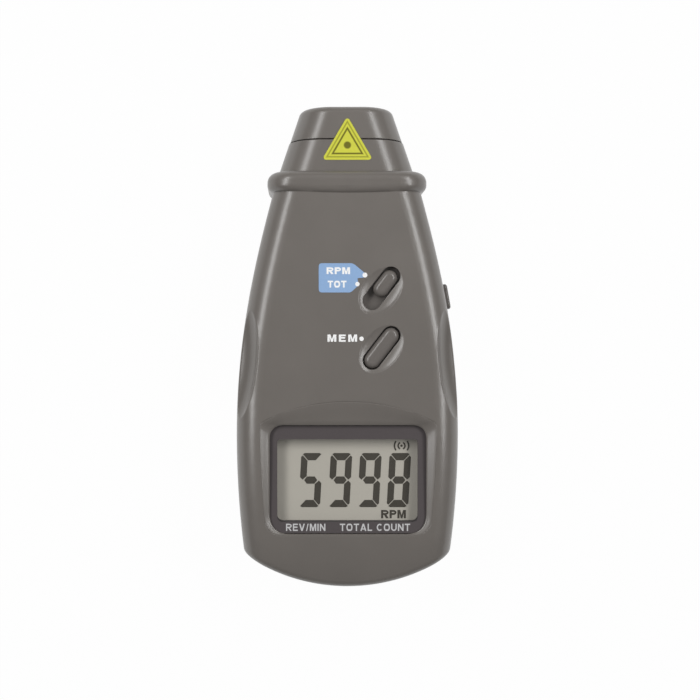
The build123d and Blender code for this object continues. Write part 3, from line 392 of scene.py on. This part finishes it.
def letter(sign, w, s):
    """Outlines of a bold capital of height 1 in pieces that only touch, for its width w and the width s of
    its upright strokes. Level strokes, the bars, are a little thinner."""
    bar, middle = 0.86 * s, w / 2
    stem = [(0, 0), (s, 0), (s, 1), (0, 1)]
    if sign == " ":
        return []
    if sign == "I":
        return [stem]
    if sign == "/":
        return [[(0, 0), (0.8 * s, 0), (w, 1), (w - 0.8 * s, 1)]]
    if sign == "L":
        return [[(0, 0), (w, 0), (w, bar), (s, bar), (s, 1), (0, 1)]]
    if sign == "N":
        return [[(0, 0), (s, 0), (s, 0.66), (w - s, 0), (w, 0), (w, 1), (w - s, 1), (w - s, 0.34), (s, 1),
                 (0, 1)]]
    if sign == "M":
        return [[(0, 0), (s, 0), (s, 0.7), (middle - s * 0.45, 0), (middle + s * 0.45, 0), (w - s, 0.7),
                 (w - s, 0), (w, 0), (w, 1), (w - 1.3 * s, 1), (middle, 0.36), (1.3 * s, 1), (0, 1)]]
    if sign == "E":
        low, high, reach = 0.43, 0.43 + bar, 0.92 * w
        return [[(0, 0), (w, 0), (w, bar), (s, bar), (s, low), (reach, low), (reach, high), (s, high),
                 (s, 1 - bar), (w, 1 - bar), (w, 1), (0, 1)]]
    if sign == "T":
        left, right = middle - s / 2, middle + s / 2
        return [[(left, 0), (right, 0), (right, 1 - bar), (w, 1 - bar), (w, 1), (0, 1), (0, 1 - bar),
                 (left, 1 - bar)]]
    if sign == "O":
        return [half_ring(middle, 0, 1, middle, s, side) for side in (-1, 1)]
    if sign in "CU":
        return [bent(sign, w, s, bar)]
    if sign in "VA":
        outline, notch = vee(w, s)
        if sign == "V":
            return [outline]
        low, high = 0.2, 0.2 + 0.8 * bar
        left, right = [1.1 * s + (middle - 1.1 * s) * y / (1 - notch) for y in (low, high)]
        crossbar = [(left, low), (w - left, low), (w - right, high), (right, high)]
        return [(outline * (1, -1) + (0, 1))[::-1], crossbar]
    bowl = half_ring(s, 0.4, 1, w - s, bar, 1)
    leg = [(0.4 * w, 0.4), (w - 1.25 * s, 0), (w, 0), (0.4 * w + 1.25 * s, 0.4)]
    return [stem, bowl] + ([leg] if sign == "R" else [])


# Width of each capital of height 1.
WIDTHS = {"R": 0.96, "P": 0.88, "M": 1.08, "T": 0.9, "O": 1.02, "E": 0.84, "V": 0.98, "/": 0.44,
          "I": 0.21, "N": 0.94, "A": 1.02, "L": 0.76, "C": 0.98, "U": 0.94, " ": 0.36}


def bold_word(name, text, box, along, surface, finish, spacing, stroke=0.27, under=0):
    """Bold word: capitals side by side, a spacing apart, stretched together to fill a box (x, y, width,
    height) whose y counts from a place along the body."""
    x, y, width, height = box
    starts = np.cumsum([0] + [WIDTHS[sign] + spacing for sign in text])
    size = np.array([width / (starts[-1] - spacing), height])
    corner = np.array([x - width / 2, y + along - height / 2])
    stacks = [layers([(np.array(outline) + (start, 0)) * size + corner], surface, under)
              for start, sign in zip(starts, text) for outline in letter(sign, WIDTHS[sign], stroke)]
    solid(name, stacks, finish)


class Nodes:
    """Short way to write a node tree: each call adds a node and joins its inputs."""

    # Sockets of a Mix node that mixes colours: the factor and the two colours, and the result.
    MIX_INPUTS, MIX_RESULT = (0, 6, 7), 2

    def __init__(self, tree):
        self.tree = tree

    def feed(self, node, values):
        """Sets each named or numbered input of a node, or joins it to a socket."""
        for key, value in values.items():
            socket = node.inputs[key]
            if isinstance(value, bpy.types.NodeSocket):
                self.tree.links.new(value, socket)
            else:
                socket.default_value = value
        return node

    def add(self, kind, values=None, **settings):
        """New node with its settings and inputs."""
        node = self.tree.nodes.new(kind)
        for key, value in settings.items():
            setattr(node, key, value)
        return self.feed(node, values or {})

    def maths(self, operation, *values, clamp=False):
        """Result of one arithmetic step on numbers or sockets."""
        node = self.add("ShaderNodeMath", dict(enumerate(values)), operation=operation, use_clamp=clamp)
        return node.outputs[0]

    def mix(self, factor, *colours):
        """Colour between two, by a mask."""
        ends = [c if isinstance(c, bpy.types.NodeSocket) else (*c[:3], 1) for c in colours]
        node = self.add("ShaderNodeMix", dict(zip(self.MIX_INPUTS, (factor, *ends))), data_type="RGBA")
        return node.outputs[self.MIX_RESULT]

    def here(self):
        """Object coordinates, in metres in the object's frame."""
        return self.add("ShaderNodeTexCoord").outputs["Object"]

    def axis(self, vector, name):
        """One coordinate of a vector."""
        return self.add("ShaderNodeSeparateXYZ", {"Vector": vector}).outputs[name]

    def noise(self, vector, per_metre, detail=2.0, rough=0.5):
        """Noise with so many waves per metre."""
        return self.add("ShaderNodeTexNoise", {"Vector": vector, "Scale": per_metre, "Detail": detail,
                                               "Roughness": rough}).outputs[0]


def shared_group(name, inputs, fill):
    """Shader node group, built once. Each input has a name, a kind and its own value; the function gives
    the number sockets that the group puts out, by name."""
    tree = bpy.data.node_groups.get(name)
    if tree is None:
        tree = bpy.data.node_groups.new(name, "ShaderNodeTree")
        for key, kind, value in inputs:
            socket = tree.interface.new_socket(key, in_out="INPUT", socket_type="NodeSocket" + kind)
            if value is not None:
                socket.default_value = value
        given = tree.nodes.new("NodeGroupInput").outputs
        results = fill(Nodes(tree), given)
        for key in results:
            tree.interface.new_socket(key, in_out="OUTPUT", socket_type="NodeSocketFloat")
        Nodes(tree).feed(tree.nodes.new("NodeGroupOutput"), results)
    return tree


def moulded_texture():
    """Fine spark-eroded grain: two noises, one a third the size of the other, added for the height, and a
    broad slow one with a little of the coarser for the tone."""
    def fill(n, given):
        coarse = n.noise(given["Place"], given["Per metre"], 1.0)
        fine = n.noise(given["Place"], n.maths("MULTIPLY", given["Per metre"], 3.0), 1.0)
        broad = n.noise(given["Place"], 45.0, 3.0, 0.6)
        speck = n.maths("MULTIPLY", n.maths("SUBTRACT", coarse, 0.5), 0.35)
        return {"Height": n.maths("MULTIPLY_ADD", fine, 0.5, coarse),
                "Tone": n.maths("ADD", broad, speck, clamp=True)}

    return shared_group("moulded_texture", [("Place", "Vector", None), ("Per metre", "Float", 2500.0)], fill)


def parting_line():
    """Line at one height: its mask is 1.5 - 1.6 times the distance from that height in widths, kept
    between 0 and 1, so it is full for a third of a width on each side and ends just under one width."""
    def fill(n, given):
        away = n.maths("ABSOLUTE", n.maths("SUBTRACT", n.axis(given["Place"], "Z"), given["Height"]))
        widths = n.maths("DIVIDE", away, given["Width"])
        return {"Mask": n.maths("SUBTRACT", 1.5, n.maths("MULTIPLY", widths, 1.6), clamp=True)}

    return shared_group("parting_line", [("Place", "Vector", None), ("Height", "Float", 0.018),
                                         ("Width", "Float", 0.0002)], fill)


def fine_wear():
    """Faint handling marks: a stretched noise cut to its highest parts."""
    def fill(n, given):
        turned = n.add("ShaderNodeMapping", {"Vector": given["Place"], "Scale": (6.0, 0.6, 1.0),
                                             "Rotation": (0.0, 0.0, 0.5)})
        streak = n.noise(turned.outputs[0], given["Per metre"], 2.0, 0.6)
        return {"Marks": n.maths("MULTIPLY", n.maths("SUBTRACT", streak, 0.58), 5.0, clamp=True)}

    return shared_group("fine_wear", [("Place", "Vector", None), ("Per metre", "Float", 300.0)], fill)


def empty_tree(owner):
    """Cleared node tree of a material or of the world."""
    owner.use_nodes = True
    owner.node_tree.nodes.clear()
    return Nodes(owner.node_tree)


def new_material(name):
    """Material with its Principled shader."""
    material = bpy.data.materials.new(name)
    n = empty_tree(material)
    shader = n.add("ShaderNodeBsdfPrincipled")
    n.add("ShaderNodeOutputMaterial", {"Surface": shader.outputs[0]})
    return material, n, shader


def shades(base, low, high=1.0):
    """A darker and a lighter shade of a colour: each channel times a share, at most 1."""
    return [[min(1, c * share) for c in base] for share in (low, high)]


def moulded(name, base, roughness, depth=0.000007, per_metre=2800.0, tone=0.1, gloss=0.5, edge=0.0,
            line=None):
    """Moulded plastic: grain in the bump, slow tone in the colour, marks in the roughness, and for the
    case softly lit edges and the parting line between its shells."""
    material, n, shader = new_material(name)
    spot = n.here()
    grain = n.add("ShaderNodeGroup", {"Place": spot, "Per metre": per_metre}, node_tree=moulded_texture())
    wear = n.add("ShaderNodeGroup", {"Place": spot}, node_tree=fine_wear())
    paint = n.mix(grain.outputs["Tone"], *shades(base, 1 - tone, 1 + tone))
    height = grain.outputs["Height"]
    rough = n.maths("MULTIPLY_ADD", wear.outputs["Marks"], -0.015, roughness)
    rough = n.maths("MULTIPLY_ADD", grain.outputs["Tone"], 0.06, rough)
    if line is not None:
        case = bpy.context.scene.tach_case
        seam = n.add("ShaderNodeGroup", {"Place": spot, "Height": case.split, "Width": case.line_width},
                     node_tree=parting_line()).outputs["Mask"]
        paint = n.mix(seam, paint, line)
        height = n.maths("MULTIPLY_ADD", seam, -6.0, height)
    relief = {"Height": height, "Strength": 0.6, "Distance": depth}
    if edge:
        relief["Normal"] = n.add("ShaderNodeBevel", {"Radius": edge}, samples=6).outputs[0]
    n.feed(shader, {"Base Color": paint, "Roughness": rough, "Specular IOR Level": gloss,
                    "Normal": n.add("ShaderNodeBump", relief).outputs[0]})
    return material


def case_plastic(name, **more):
    """The case's moulded plastic, under a name and with extras of its own."""
    case = bpy.context.scene.tach_case
    return moulded(name, case.plastic, case.roughness, per_metre=1 / case.grain, gloss=case.gloss, **more)


def printed(name, base, roughness=0.5):
    """Pad-printed ink: a colour with slightly uneven cover."""
    material, n, shader = new_material(name)
    cover = n.noise(n.here(), 1800.0, 2.0, 0.6)
    n.feed(shader, {"Base Color": n.mix(cover, *shades(base, 0.93, 1.05)),
                    "Roughness": n.maths("MULTIPLY_ADD", cover, 0.1, roughness)})
    return material


def metal(name, base, roughness, grain_scale=(1.0, 30.0, 1.0)):
    """Drawn or plated metal: a noise stretched along the work, in colour, roughness and bump."""
    material, n, shader = new_material(name)
    turned = n.add("ShaderNodeMapping", {"Vector": n.here(), "Scale": grain_scale})
    streak = n.noise(turned.outputs[0], 900.0, 3.0, 0.6)
    bump = n.add("ShaderNodeBump", {"Height": streak, "Strength": 0.3, "Distance": 0.00001})
    n.feed(shader, {"Base Color": n.mix(streak, *shades(base, 0.8)), "Metallic": 1.0,
                    "Roughness": n.maths("MULTIPLY_ADD", streak, 0.2, roughness),
                    "Normal": bump.outputs[0]})
    return material


def clear(name, tint, cover, roughness):
    """Clear moulding: mostly let through by its alpha, with a polished face and faint haze."""
    material, n, shader = new_material(name)
    haze = n.noise(n.here(), 90.0, 3.0)
    n.feed(shader, {"Base Color": n.mix(haze, *shades(tint, 0.96)), "Specular IOR Level": 0.35,
                    "Roughness": n.maths("MULTIPLY_ADD", haze, 0.03, roughness),
                    "Alpha": n.maths("MULTIPLY_ADD", haze, 0.01, cover)})
    return material


def lens_glass(name, tint):
    """Ground glass lens with a faint, slightly uneven tint."""
    material, n, shader = new_material(name)
    n.feed(shader, {"Base Color": n.mix(n.noise(n.here(), 200.0), *shades(tint, 0.97)),
                    "Roughness": 0.02, "Transmission Weight": 1.0, "IOR": 1.5})
    return material


def solder_mask(name, base):
    """Circuit board: mask over raised tracks, which are drawn as the edges between Voronoi cells."""
    material, n, shader = new_material(name)
    spot = n.here()
    cells = n.add("ShaderNodeTexVoronoi", {"Vector": spot, "Scale": 420.0, "Randomness": 0.6},
                  feature="DISTANCE_TO_EDGE")
    tracks = n.maths("LESS_THAN", cells.outputs["Distance"], 0.09)
    bump = n.add("ShaderNodeBump", {"Height": tracks, "Strength": 0.5, "Distance": 0.00003})
    n.feed(shader, {"Base Color": n.mix(tracks, *shades(base, 1.0, 1.7)), "Normal": bump.outputs[0],
                    "Roughness": n.maths("MULTIPLY_ADD", n.noise(spot, 600.0), 0.15, 0.25)})
    return material


def cell_sleeve(name, inside):
    """Printed sleeve of a cell: two plain colours split at one station along it, bare metal at the ends."""
    material, n, shader = new_material(name)
    spot = n.here()
    y = n.axis(spot, "Y")
    low, high = CELL_BOX
    band = n.maths("GREATER_THAN", y, low.y + (high.y - low.y) * BAND_SHARE)
    end = n.maths("ADD", n.maths("LESS_THAN", y, low.y + BARE_LOW),
                  n.maths("GREATER_THAN", y, high.y - BARE_HIGH), clamp=True)
    n.feed(shader, {"Base Color": n.mix(end, n.mix(band, inside.sleeve, inside.sleeve_band), inside.cell_end),
                    "Metallic": n.maths("MULTIPLY", end, 0.9),
                    "Roughness": n.maths("MULTIPLY_ADD", n.noise(spot, 400.0), 0.12, 0.25)})
    return material


def display_glass(name, base):
    """Face of the unlit display: a silvery reflector with a faint grain and a slow change of tone."""
    material, n, shader = new_material(name)
    spot = n.here()
    grain, slow = n.noise(spot, 9000.0, 1.0), n.noise(spot, 60.0)
    tone = n.maths("MULTIPLY_ADD", grain, 0.25, n.maths("MULTIPLY", slow, 0.6), clamp=True)
    n.feed(shader, {"Base Color": n.mix(tone, *shades(base, 0.94, 1.05)),
                    "Roughness": n.maths("MULTIPLY_ADD", slow, 0.1, 0.45)})
    return material


def triangle_sticker(name, yellow, olive):
    """Yellow sticker with two thin triangles and a spot. The way in from the nearest side is the inradius
    less the greater of -y and |x| cos 30 + y / 2, measured from the middle. Each line is a narrow band of
    it, and the spot a disc round the middle."""
    material, n, shader = new_material(name)
    spot = n.here()
    low, high = MARK_BOX
    inradius = (high.x - low.x) * FULL_TRIANGLE / (2 * math.sqrt(3))
    x = n.maths("ABSOLUTE", n.axis(spot, "X"))
    y = n.maths("SUBTRACT", n.axis(spot, "Y"), low.y + inradius)
    slope = n.maths("ADD", n.maths("MULTIPLY", x, math.cos(math.radians(30))), n.maths("MULTIPLY", y, 0.5))
    inward = n.maths("SUBTRACT", inradius, n.maths("MAXIMUM", n.maths("MULTIPLY", y, -1.0), slope))
    across = n.maths("SQRT", n.maths("ADD", n.maths("MULTIPLY", x, x), n.maths("MULTIPLY", y, y)))
    drawn = n.maths("SUBTRACT", SPOT_STEPS, n.maths("DIVIDE", across, SPOT_STEP), clamp=True)
    for depth, width, strength in STICKER_LINES:
        off = n.maths("ABSOLUTE", n.maths("SUBTRACT", inward, depth))
        band = n.maths("SUBTRACT", 1.0, n.maths("DIVIDE", off, width / 2), clamp=True)
        drawn = n.maths("MAXIMUM", drawn, n.maths("MULTIPLY", band, strength, clamp=True))
    cover = n.noise(spot, 1500.0)
    n.feed(shader, {"Base Color": n.mix(drawn, n.mix(cover, *shades(yellow, 0.95, 1.04)), olive),
                    "Roughness": n.maths("MULTIPLY_ADD", cover, 0.1, 0.3)})
    return material


def dress(finish, *nodes):
    """Every slot of these nodes of the frame takes one finish."""
    for name in nodes:
        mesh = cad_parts[name].data
        mesh.materials.clear()
        mesh.materials.append(finish)


class TACH_OT_case(bpy.types.Operator):
    """Moulded finish of both shells, the nose cap and the battery door"""

    bl_idname = "tach.case"
    bl_label = "Case"

    def execute(self, context):
        case = context.scene.tach_case
        dress(case_plastic("case_plastic", edge=case.edge, line=case.line), "front_cover", "rear_cover")
        dress(case_plastic("cap_plastic", edge=case.edge), "nose_cap", "battery_door")
        return {"FINISHED"}


def surround_rings(s):
    """Rings of the slope round the window, in one piece. A straight line leads from each point of the
    window's seat out and up to the field's outline, and meets the front at the share t of the way where its
    height seat + t (field - seat) is the crown's. From there the slope runs in to the opening: at the share
    q of its way it has fallen by q - w sin(2 pi q) of its fall, with w the swell. Then it turns over a lip
    and goes straight down."""
    seat, field = field_outline(*SEAT), field_outline(*FIELD)
    opening = field_outline(s.half_width, -s.half_length, s.half_length, NO_ARC, s.low_corner, s.high_corner)
    t = np.full(len(seat), 0.5)
    for _ in range(6):  # the crown is nearly level along a line, so six rounds settle t
        y = seat[:, 1] + t * (field[:, 1] - seat[:, 1])
        t = (crown(y) - s.tuck - SEAT_Z) / (FIELD_Z - SEAT_Z)
    rim = seat + t[:, None] * (field - seat)
    rise = t * (FIELD_Z - SEAT_Z)
    fall = rise * (1 - s.share)
    run = np.linalg.norm(rim - opening, axis=1)
    rings = [raised(seat, SEAT_Z)]
    for q in [np.full_like(run, share) for share in SLOPE_SHARES] + [1 - s.lip / run]:
        drop = fall * (q - SLOPE_SWELL * np.sin(2 * np.pi * q))
        rings.append(raised(rim + q[:, None] * (opening - rim), SEAT_Z + rise - drop))
    rings += [raised(opening, SEAT_Z + rise - fall - s.lip), raised(opening, SEAT_Z)]
    return np.array([rings])


class TACH_OT_surround(bpy.types.Operator):
    """Slope round the display window"""

    bl_idname = "tach.surround"
    bl_label = "Surround"

    def execute(self, context):
        solid("display_surround", [surround_rings(context.scene.tach_surround)],
              case_plastic("surround_plastic"), smooth=True, frame_like=True)
        return {"FINISHED"}


class TACH_OT_controls(bpy.types.Operator):
    """Finish of the slide, the push button and the side button"""

    bl_idname = "tach.controls"
    bl_label = "Controls"

    def execute(self, context):
        case = context.scene.tach_case
        finish = moulded("control_plastic", case.control, case.roughness - case.polish, depth=0.000006)
        dress(finish, "mode_knob", "mem_button", "side_button")
        return {"FINISHED"}


class TACH_OT_windows(bpy.types.Operator):
    """Clear display window and dark beam window"""

    bl_idname = "tach.windows"
    bl_label = "Windows"

    def execute(self, context):
        panes = context.scene.tach_windows
        dress(clear("clear_window", panes.clear_tint, panes.clear_cover, roughness=0.04), "display_window")
        dress(clear("filter_window", panes.dark_tint, panes.dark_cover, roughness=0.05), "beam_window")
        return {"FINISHED"}


def border_rings(show, low, high):
    """Rings of the border in one piece: its outer edge at the low and the high level, then the edge of the
    clear field at the high and the low one."""
    edge = field_outline(*BORDER_EDGE)
    half = (show.border_right - show.border_left) / 2
    clear_field = field_outline(half, show.border_low, show.border_high, NO_ARC, *CLEAR_CORNERS)
    clear_field += ((show.border_right + show.border_left) / 2, 0)
    return np.array([[raised(edge, low), raised(edge, high),
                      raised(clear_field, high), raised(clear_field, low)]])


class TACH_OT_display(bpy.types.Operator):
    """Display glass, its frame and border, the digits, the unit and the words under it"""

    bl_idname = "tach.display"
    bl_label = "Display"

    def execute(self, context):
        show = context.scene.tach_display
        prints = context.scene.tach_prints
        dress(display_glass("display_glass", show.glass), "lcd_glass")
        dress(moulded("bezel_plastic", show.bezel, roughness=0.5, per_metre=4000.0, tone=0.05), "lcd_frame")
        low = WINDOW_BOX[1].z + prints.lift
        high = low + prints.layer
        solid("window_border", [border_rings(show, low, high)], printed("border_ink", show.border, 0.3),
              frame_like=True)
        ink = printed("segment_ink", show.ink, 0.6)
        face = level(GLASS_BOX[1].z)
        solid("lcd_digits", [layers(digit_row(show), face)], ink)
        bold_word("lcd_unit", "RPM", UNIT_BOX, DISPLAY_Y, face, ink, spacing=0.12)
        x, y = MONITOR_X, DISPLAY_Y + MONITOR_Y
        arcs = [arc_band(x, y, radius, MONITOR_STROKE, middle, math.radians(spread))
                for radius, spread in MONITOR_ARCS for middle in (0, math.pi)]
        dot = circle(x, y, MONITOR_DOT)
        solid("lcd_monitor_mark", [layers(arcs, face), layers([dot], face)], ink)
        legend = printed("legend_ink", show.legend)
        for name, text, box in LEGENDS:
            bold_word(name, text, box, DISPLAY_Y, level(high), legend, spacing=0.2,
                      stroke=0.21)
        return {"FINISHED"}


def segment_shapes(show):
    """The seven segments of a digit round its own middle, in six points each. The level top one, the upper
    left one and the middle one are given by their corners; the others are those mirrored in x or in y.
    Here w and h are half the digit, u and v the strokes, g half the gap and c the cut of its corners."""
    w, h = show.digit_width / 2, show.digit_height / 2
    u, v, g = show.upright, show.level, show.gap / 2
    c = 0.3 * u
    top = np.array([(-w + u + g, h - v), (w - u - g, h - v), (w - c + g, h - c + 2 * g), (w - 2 * c + g, h),
                    (-w + 2 * c - g, h), (-w + c - g, h - c + 2 * g)])
    left = np.array([(-w + 0.4 * u, g), (-w + u, v / 2 + g), (-w + u, h - v - g), (-w + c - g, h - c - g),
                     (-w, h - 2 * c), (-w, 0.35 * v + g)])
    middle = np.array([(-w + 0.65 * u, 0), (-w + u + g, -v / 2), (w - u - g, -v / 2), (w - 0.65 * u, 0),
                       (w - u - g, v / 2), (-w + u + g, v / 2)])
    across, along, both = np.array([-1, 1]), np.array([1, -1]), np.array([-1, -1])
    return {"a": top, "d": (top * along)[::-1], "f": left, "b": (left * across)[::-1],
            "e": (left * along)[::-1], "c": left * both, "g": middle}


# Segments that each digit lights.
LIT = {"0": "abcdef", "1": "bc", "2": "abged", "3": "abgcd", "4": "fgbc", "5": "afgcd", "6": "afgedc",
       "7": "abc", "8": "abcdefg", "9": "abcdfg"}


def digit_row(show):
    """Lit segments of the reading, right-aligned on the last digit's place, and leaned: x grows by the
    slant times the height above the middle."""
    shapes = segment_shapes(show)
    row = []
    for place_left, sign in enumerate(reversed(show.reading)):
        centre = np.array([show.last_x - place_left * show.digit_pitch, show.digits_y])
        for key in LIT[sign]:
            shape = shapes[key].copy()
            shape[:, 0] += show.slant * shape[:, 1]
            row.append(shape + centre)
    return np.array(row)


class TACH_OT_prints(bpy.types.Operator):
    """Printed field, words and dots beside the controls, and the sticker on the head"""

    bl_idname = "tach.prints"
    bl_label = "Prints"

    def execute(self, context):
        prints = context.scene.tach_prints
        white = printed("white_ink", prints.white)
        corners = np.array(MODE_FIELD)
        field = rounded(corners[:, :2], corners[:, 2]) + (0, PUSH_Y)
        solid("mode_field", [layers([field], crown)], printed("blue_ink", prints.blue))
        for name, text, box, spacing, under in WORDS:
            bold_word(name, text, box, PUSH_Y, crown, white, spacing, under=under)
        dots = [circle(x, PUSH_Y + y, radius) for x, y, radius in DOTS]
        solid("mode_dots", [layers(dots, crown, under=1)], white)
        dress(triangle_sticker("sticker_print", prints.yellow, prints.olive), "aim_mark")
        return {"FINISHED"}


class TACH_OT_inside(bpy.types.Operator):
    """Boards, optics, switches, cells, contacts and screws"""

    bl_idname = "tach.inside"
    bl_label = "Inside"

    def execute(self, context):
        inside = context.scene.tach_inside
        dress(solder_mask("board_mask", inside.board), "main_board", "sensor_board")
        dress(moulded("chip_epoxy", inside.chip, roughness=0.5), "controller_chip", "capacitors")
        dress(metal("crystal_can", inside.can, roughness=0.25), "crystal")
        dress(moulded("black_nylon", inside.nylon, roughness=0.5), "board_link", "optic_block", "mode_switch",
              "mode_slider", "mem_switch", "mem_plunger", "side_switch", "side_plunger")
        dress(moulded("contact_rubber", inside.rubber, roughness=0.75), "lcd_connectors")
        dress(metal("module_brass", inside.brass, roughness=0.25), "laser_module")
        dress(lens_glass("lens_glass", context.scene.tach_windows.lens_tint), "laser_lens", "receiver_lens")
        dress(moulded("sensor_resin", inside.resin, roughness=0.15, depth=0.000002), "photo_sensor")
        dress(cell_sleeve("cell_sleeve", inside), *[f"battery_cell_{i}" for i in range(1, 5)])
        dress(metal("plated_sheet", inside.plate, roughness=0.3), "battery_plates", "contact_springs")
        zinc = metal("screw_zinc", inside.zinc, roughness=0.35, grain_scale=(1.0, 1.0, 1.0))
        dress(zinc, "case_screws", "board_screws")
        return {"FINISHED"}


def floor_material(stage):
    """Floor that shows as white to the camera, in gloss and through glass, and keeps a share of the
    object's shadow."""
    material = bpy.data.materials.new("floor_paper")
    n = empty_tree(material)
    paper = n.add("ShaderNodeBsdfDiffuse", {"Color": (*stage.floor, 1)})
    white = n.add("ShaderNodeEmission", {"Color": (1, 1, 1, 1), "Strength": 1.0})
    path = n.add("ShaderNodeLightPath").outputs
    seen = n.maths("MAXIMUM", path["Is Camera Ray"],
                   n.maths("MAXIMUM", path["Is Glossy Ray"], path["Is Transmission Ray"]))
    share = n.maths("MULTIPLY", seen, stage.backdrop)
    mixed = n.add("ShaderNodeMixShader", {0: share, 1: paper.outputs[0], 2: white.outputs[0]})
    n.add("ShaderNodeOutputMaterial", {"Surface": mixed.outputs[0]})
    return material


def surroundings(stage):
    """World that is white to the camera and through glass, and otherwise gives a plain even light."""
    world = bpy.data.worlds.new("surroundings")
    n = empty_tree(world)
    path = n.add("ShaderNodeLightPath").outputs
    seen = n.maths("MAXIMUM", path["Is Camera Ray"], path["Is Transmission Ray"])
    strength = n.maths("MULTIPLY_ADD", seen, 1.0 - stage.world, stage.world)
    sky = n.add("ShaderNodeBackground", {"Color": (1, 1, 1, 1), "Strength": strength})
    n.add("ShaderNodeOutputWorld", {"Surface": sky.outputs[0]})
    return world


def soft_lamp(name, spot, size, power):
    """Rectangular lamp at a place, facing the body."""
    data = bpy.data.lights.new(name, "AREA")
    data.shape = "RECTANGLE"
    data.size, data.size_y = size
    data.energy = power
    lamp = bpy.data.objects.new(name, data)
    lamp.location = spot
    lamp.rotation_euler = (Vector(LAMP_AIM) - Vector(spot)).to_track_quat("-Z", "Y").to_euler()
    bpy.context.scene.collection.objects.link(lamp)


class TACH_OT_stage(bpy.types.Operator):
    """White floor and surroundings, three soft lamps and the camera over the display"""

    bl_idname = "tach.stage"
    bl_label = "Stage"

    def execute(self, context):
        scene = context.scene
        stage = scene.tach_stage
        scene.view_settings.view_transform = "Standard"
        mesh = bpy.data.meshes.new("floor")
        corners = [(x * FLOOR_HALF, y * FLOOR_HALF, 0) for x, y in ((-1, -1), (1, -1), (1, 1), (-1, 1))]
        mesh.from_pydata(corners, [], [(0, 1, 2, 3)])
        floor = bpy.data.objects.new("floor", mesh)
        scene.collection.objects.link(floor)
        mesh.materials.append(floor_material(stage))
        scene.world = surroundings(stage)
        for side, name in ((-1, "lamp_left"), (1, "lamp_right")):
            soft_lamp(name, (side * SIDE_LAMP_X, SIDE_LAMP_Y, SIDE_LAMP_Z), SIDE_LAMP_SIZE, stage.lamp_power)
        soft_lamp("lamp_head", HEAD_LAMP_AT, HEAD_LAMP_SIZE, stage.head_power)
        view = bpy.data.cameras.new("camera")
        view.sensor_width = SENSOR_WIDTH
        view.lens = SENSOR_WIDTH * (stage.camera_height - scene.tach_case.split) / stage.view_width
        view.shift_x = stage.lens_shift
        view.clip_start = 0.01
        camera = bpy.data.objects.new("camera", view)
        camera.location = (stage.camera_x, stage.camera_y, stage.camera_height)
        scene.collection.objects.link(camera)
        scene.camera = camera
        return {"FINISHED"}


class TACH_PT_panel(bpy.types.Panel):
    """Sidebar panel with every step and its values"""

    bl_idname = "TACH_PT_panel"
    bl_label = "Tachometer"
    bl_space_type = "VIEW_3D"
    bl_region_type = "UI"
    bl_category = "Tachometer"

    def draw(self, context):
        for step in STEPS:
            self.layout.operator(step.bl_idname)
        for name, group_type in GROUPS:
            values = getattr(context.scene, name)
            box = self.layout.box()
            for key in group_type.__annotations__:
                box.prop(values, key)


GROUPS = [("tach_case", TachCase), ("tach_surround", TachSurround), ("tach_windows", TachWindows),
          ("tach_display", TachDisplay), ("tach_prints", TachPrints), ("tach_inside", TachInside),
          ("tach_stage", TachStage)]
STEPS = [TACH_OT_case, TACH_OT_surround, TACH_OT_controls, TACH_OT_windows, TACH_OT_display,
         TACH_OT_prints, TACH_OT_inside, TACH_OT_stage]


def register():
    """Makes the values, the steps and the panel known."""
    for name, group_type in GROUPS:
        bpy.utils.register_class(group_type)
        setattr(bpy.types.Scene, name, bpy.props.PointerProperty(type=group_type))
    for step in STEPS + [TACH_PT_panel]:
        bpy.utils.register_class(step)


def unregister():
    """Takes them away again."""
    for step in reversed(STEPS + [TACH_PT_panel]):
        bpy.utils.unregister_class(step)
    for name, group_type in reversed(GROUPS):
        delattr(bpy.types.Scene, name)
        bpy.utils.unregister_class(group_type)


def main():
    """Runs every step in order."""
    register()
    bpy.ops.tach.case()
    bpy.ops.tach.surround()
    bpy.ops.tach.controls()
    bpy.ops.tach.windows()
    bpy.ops.tach.display()
    bpy.ops.tach.prints()
    bpy.ops.tach.inside()
    bpy.ops.tach.stage()
    bpy.context.view_layer.update()


if __name__ == "__main__":
    main()
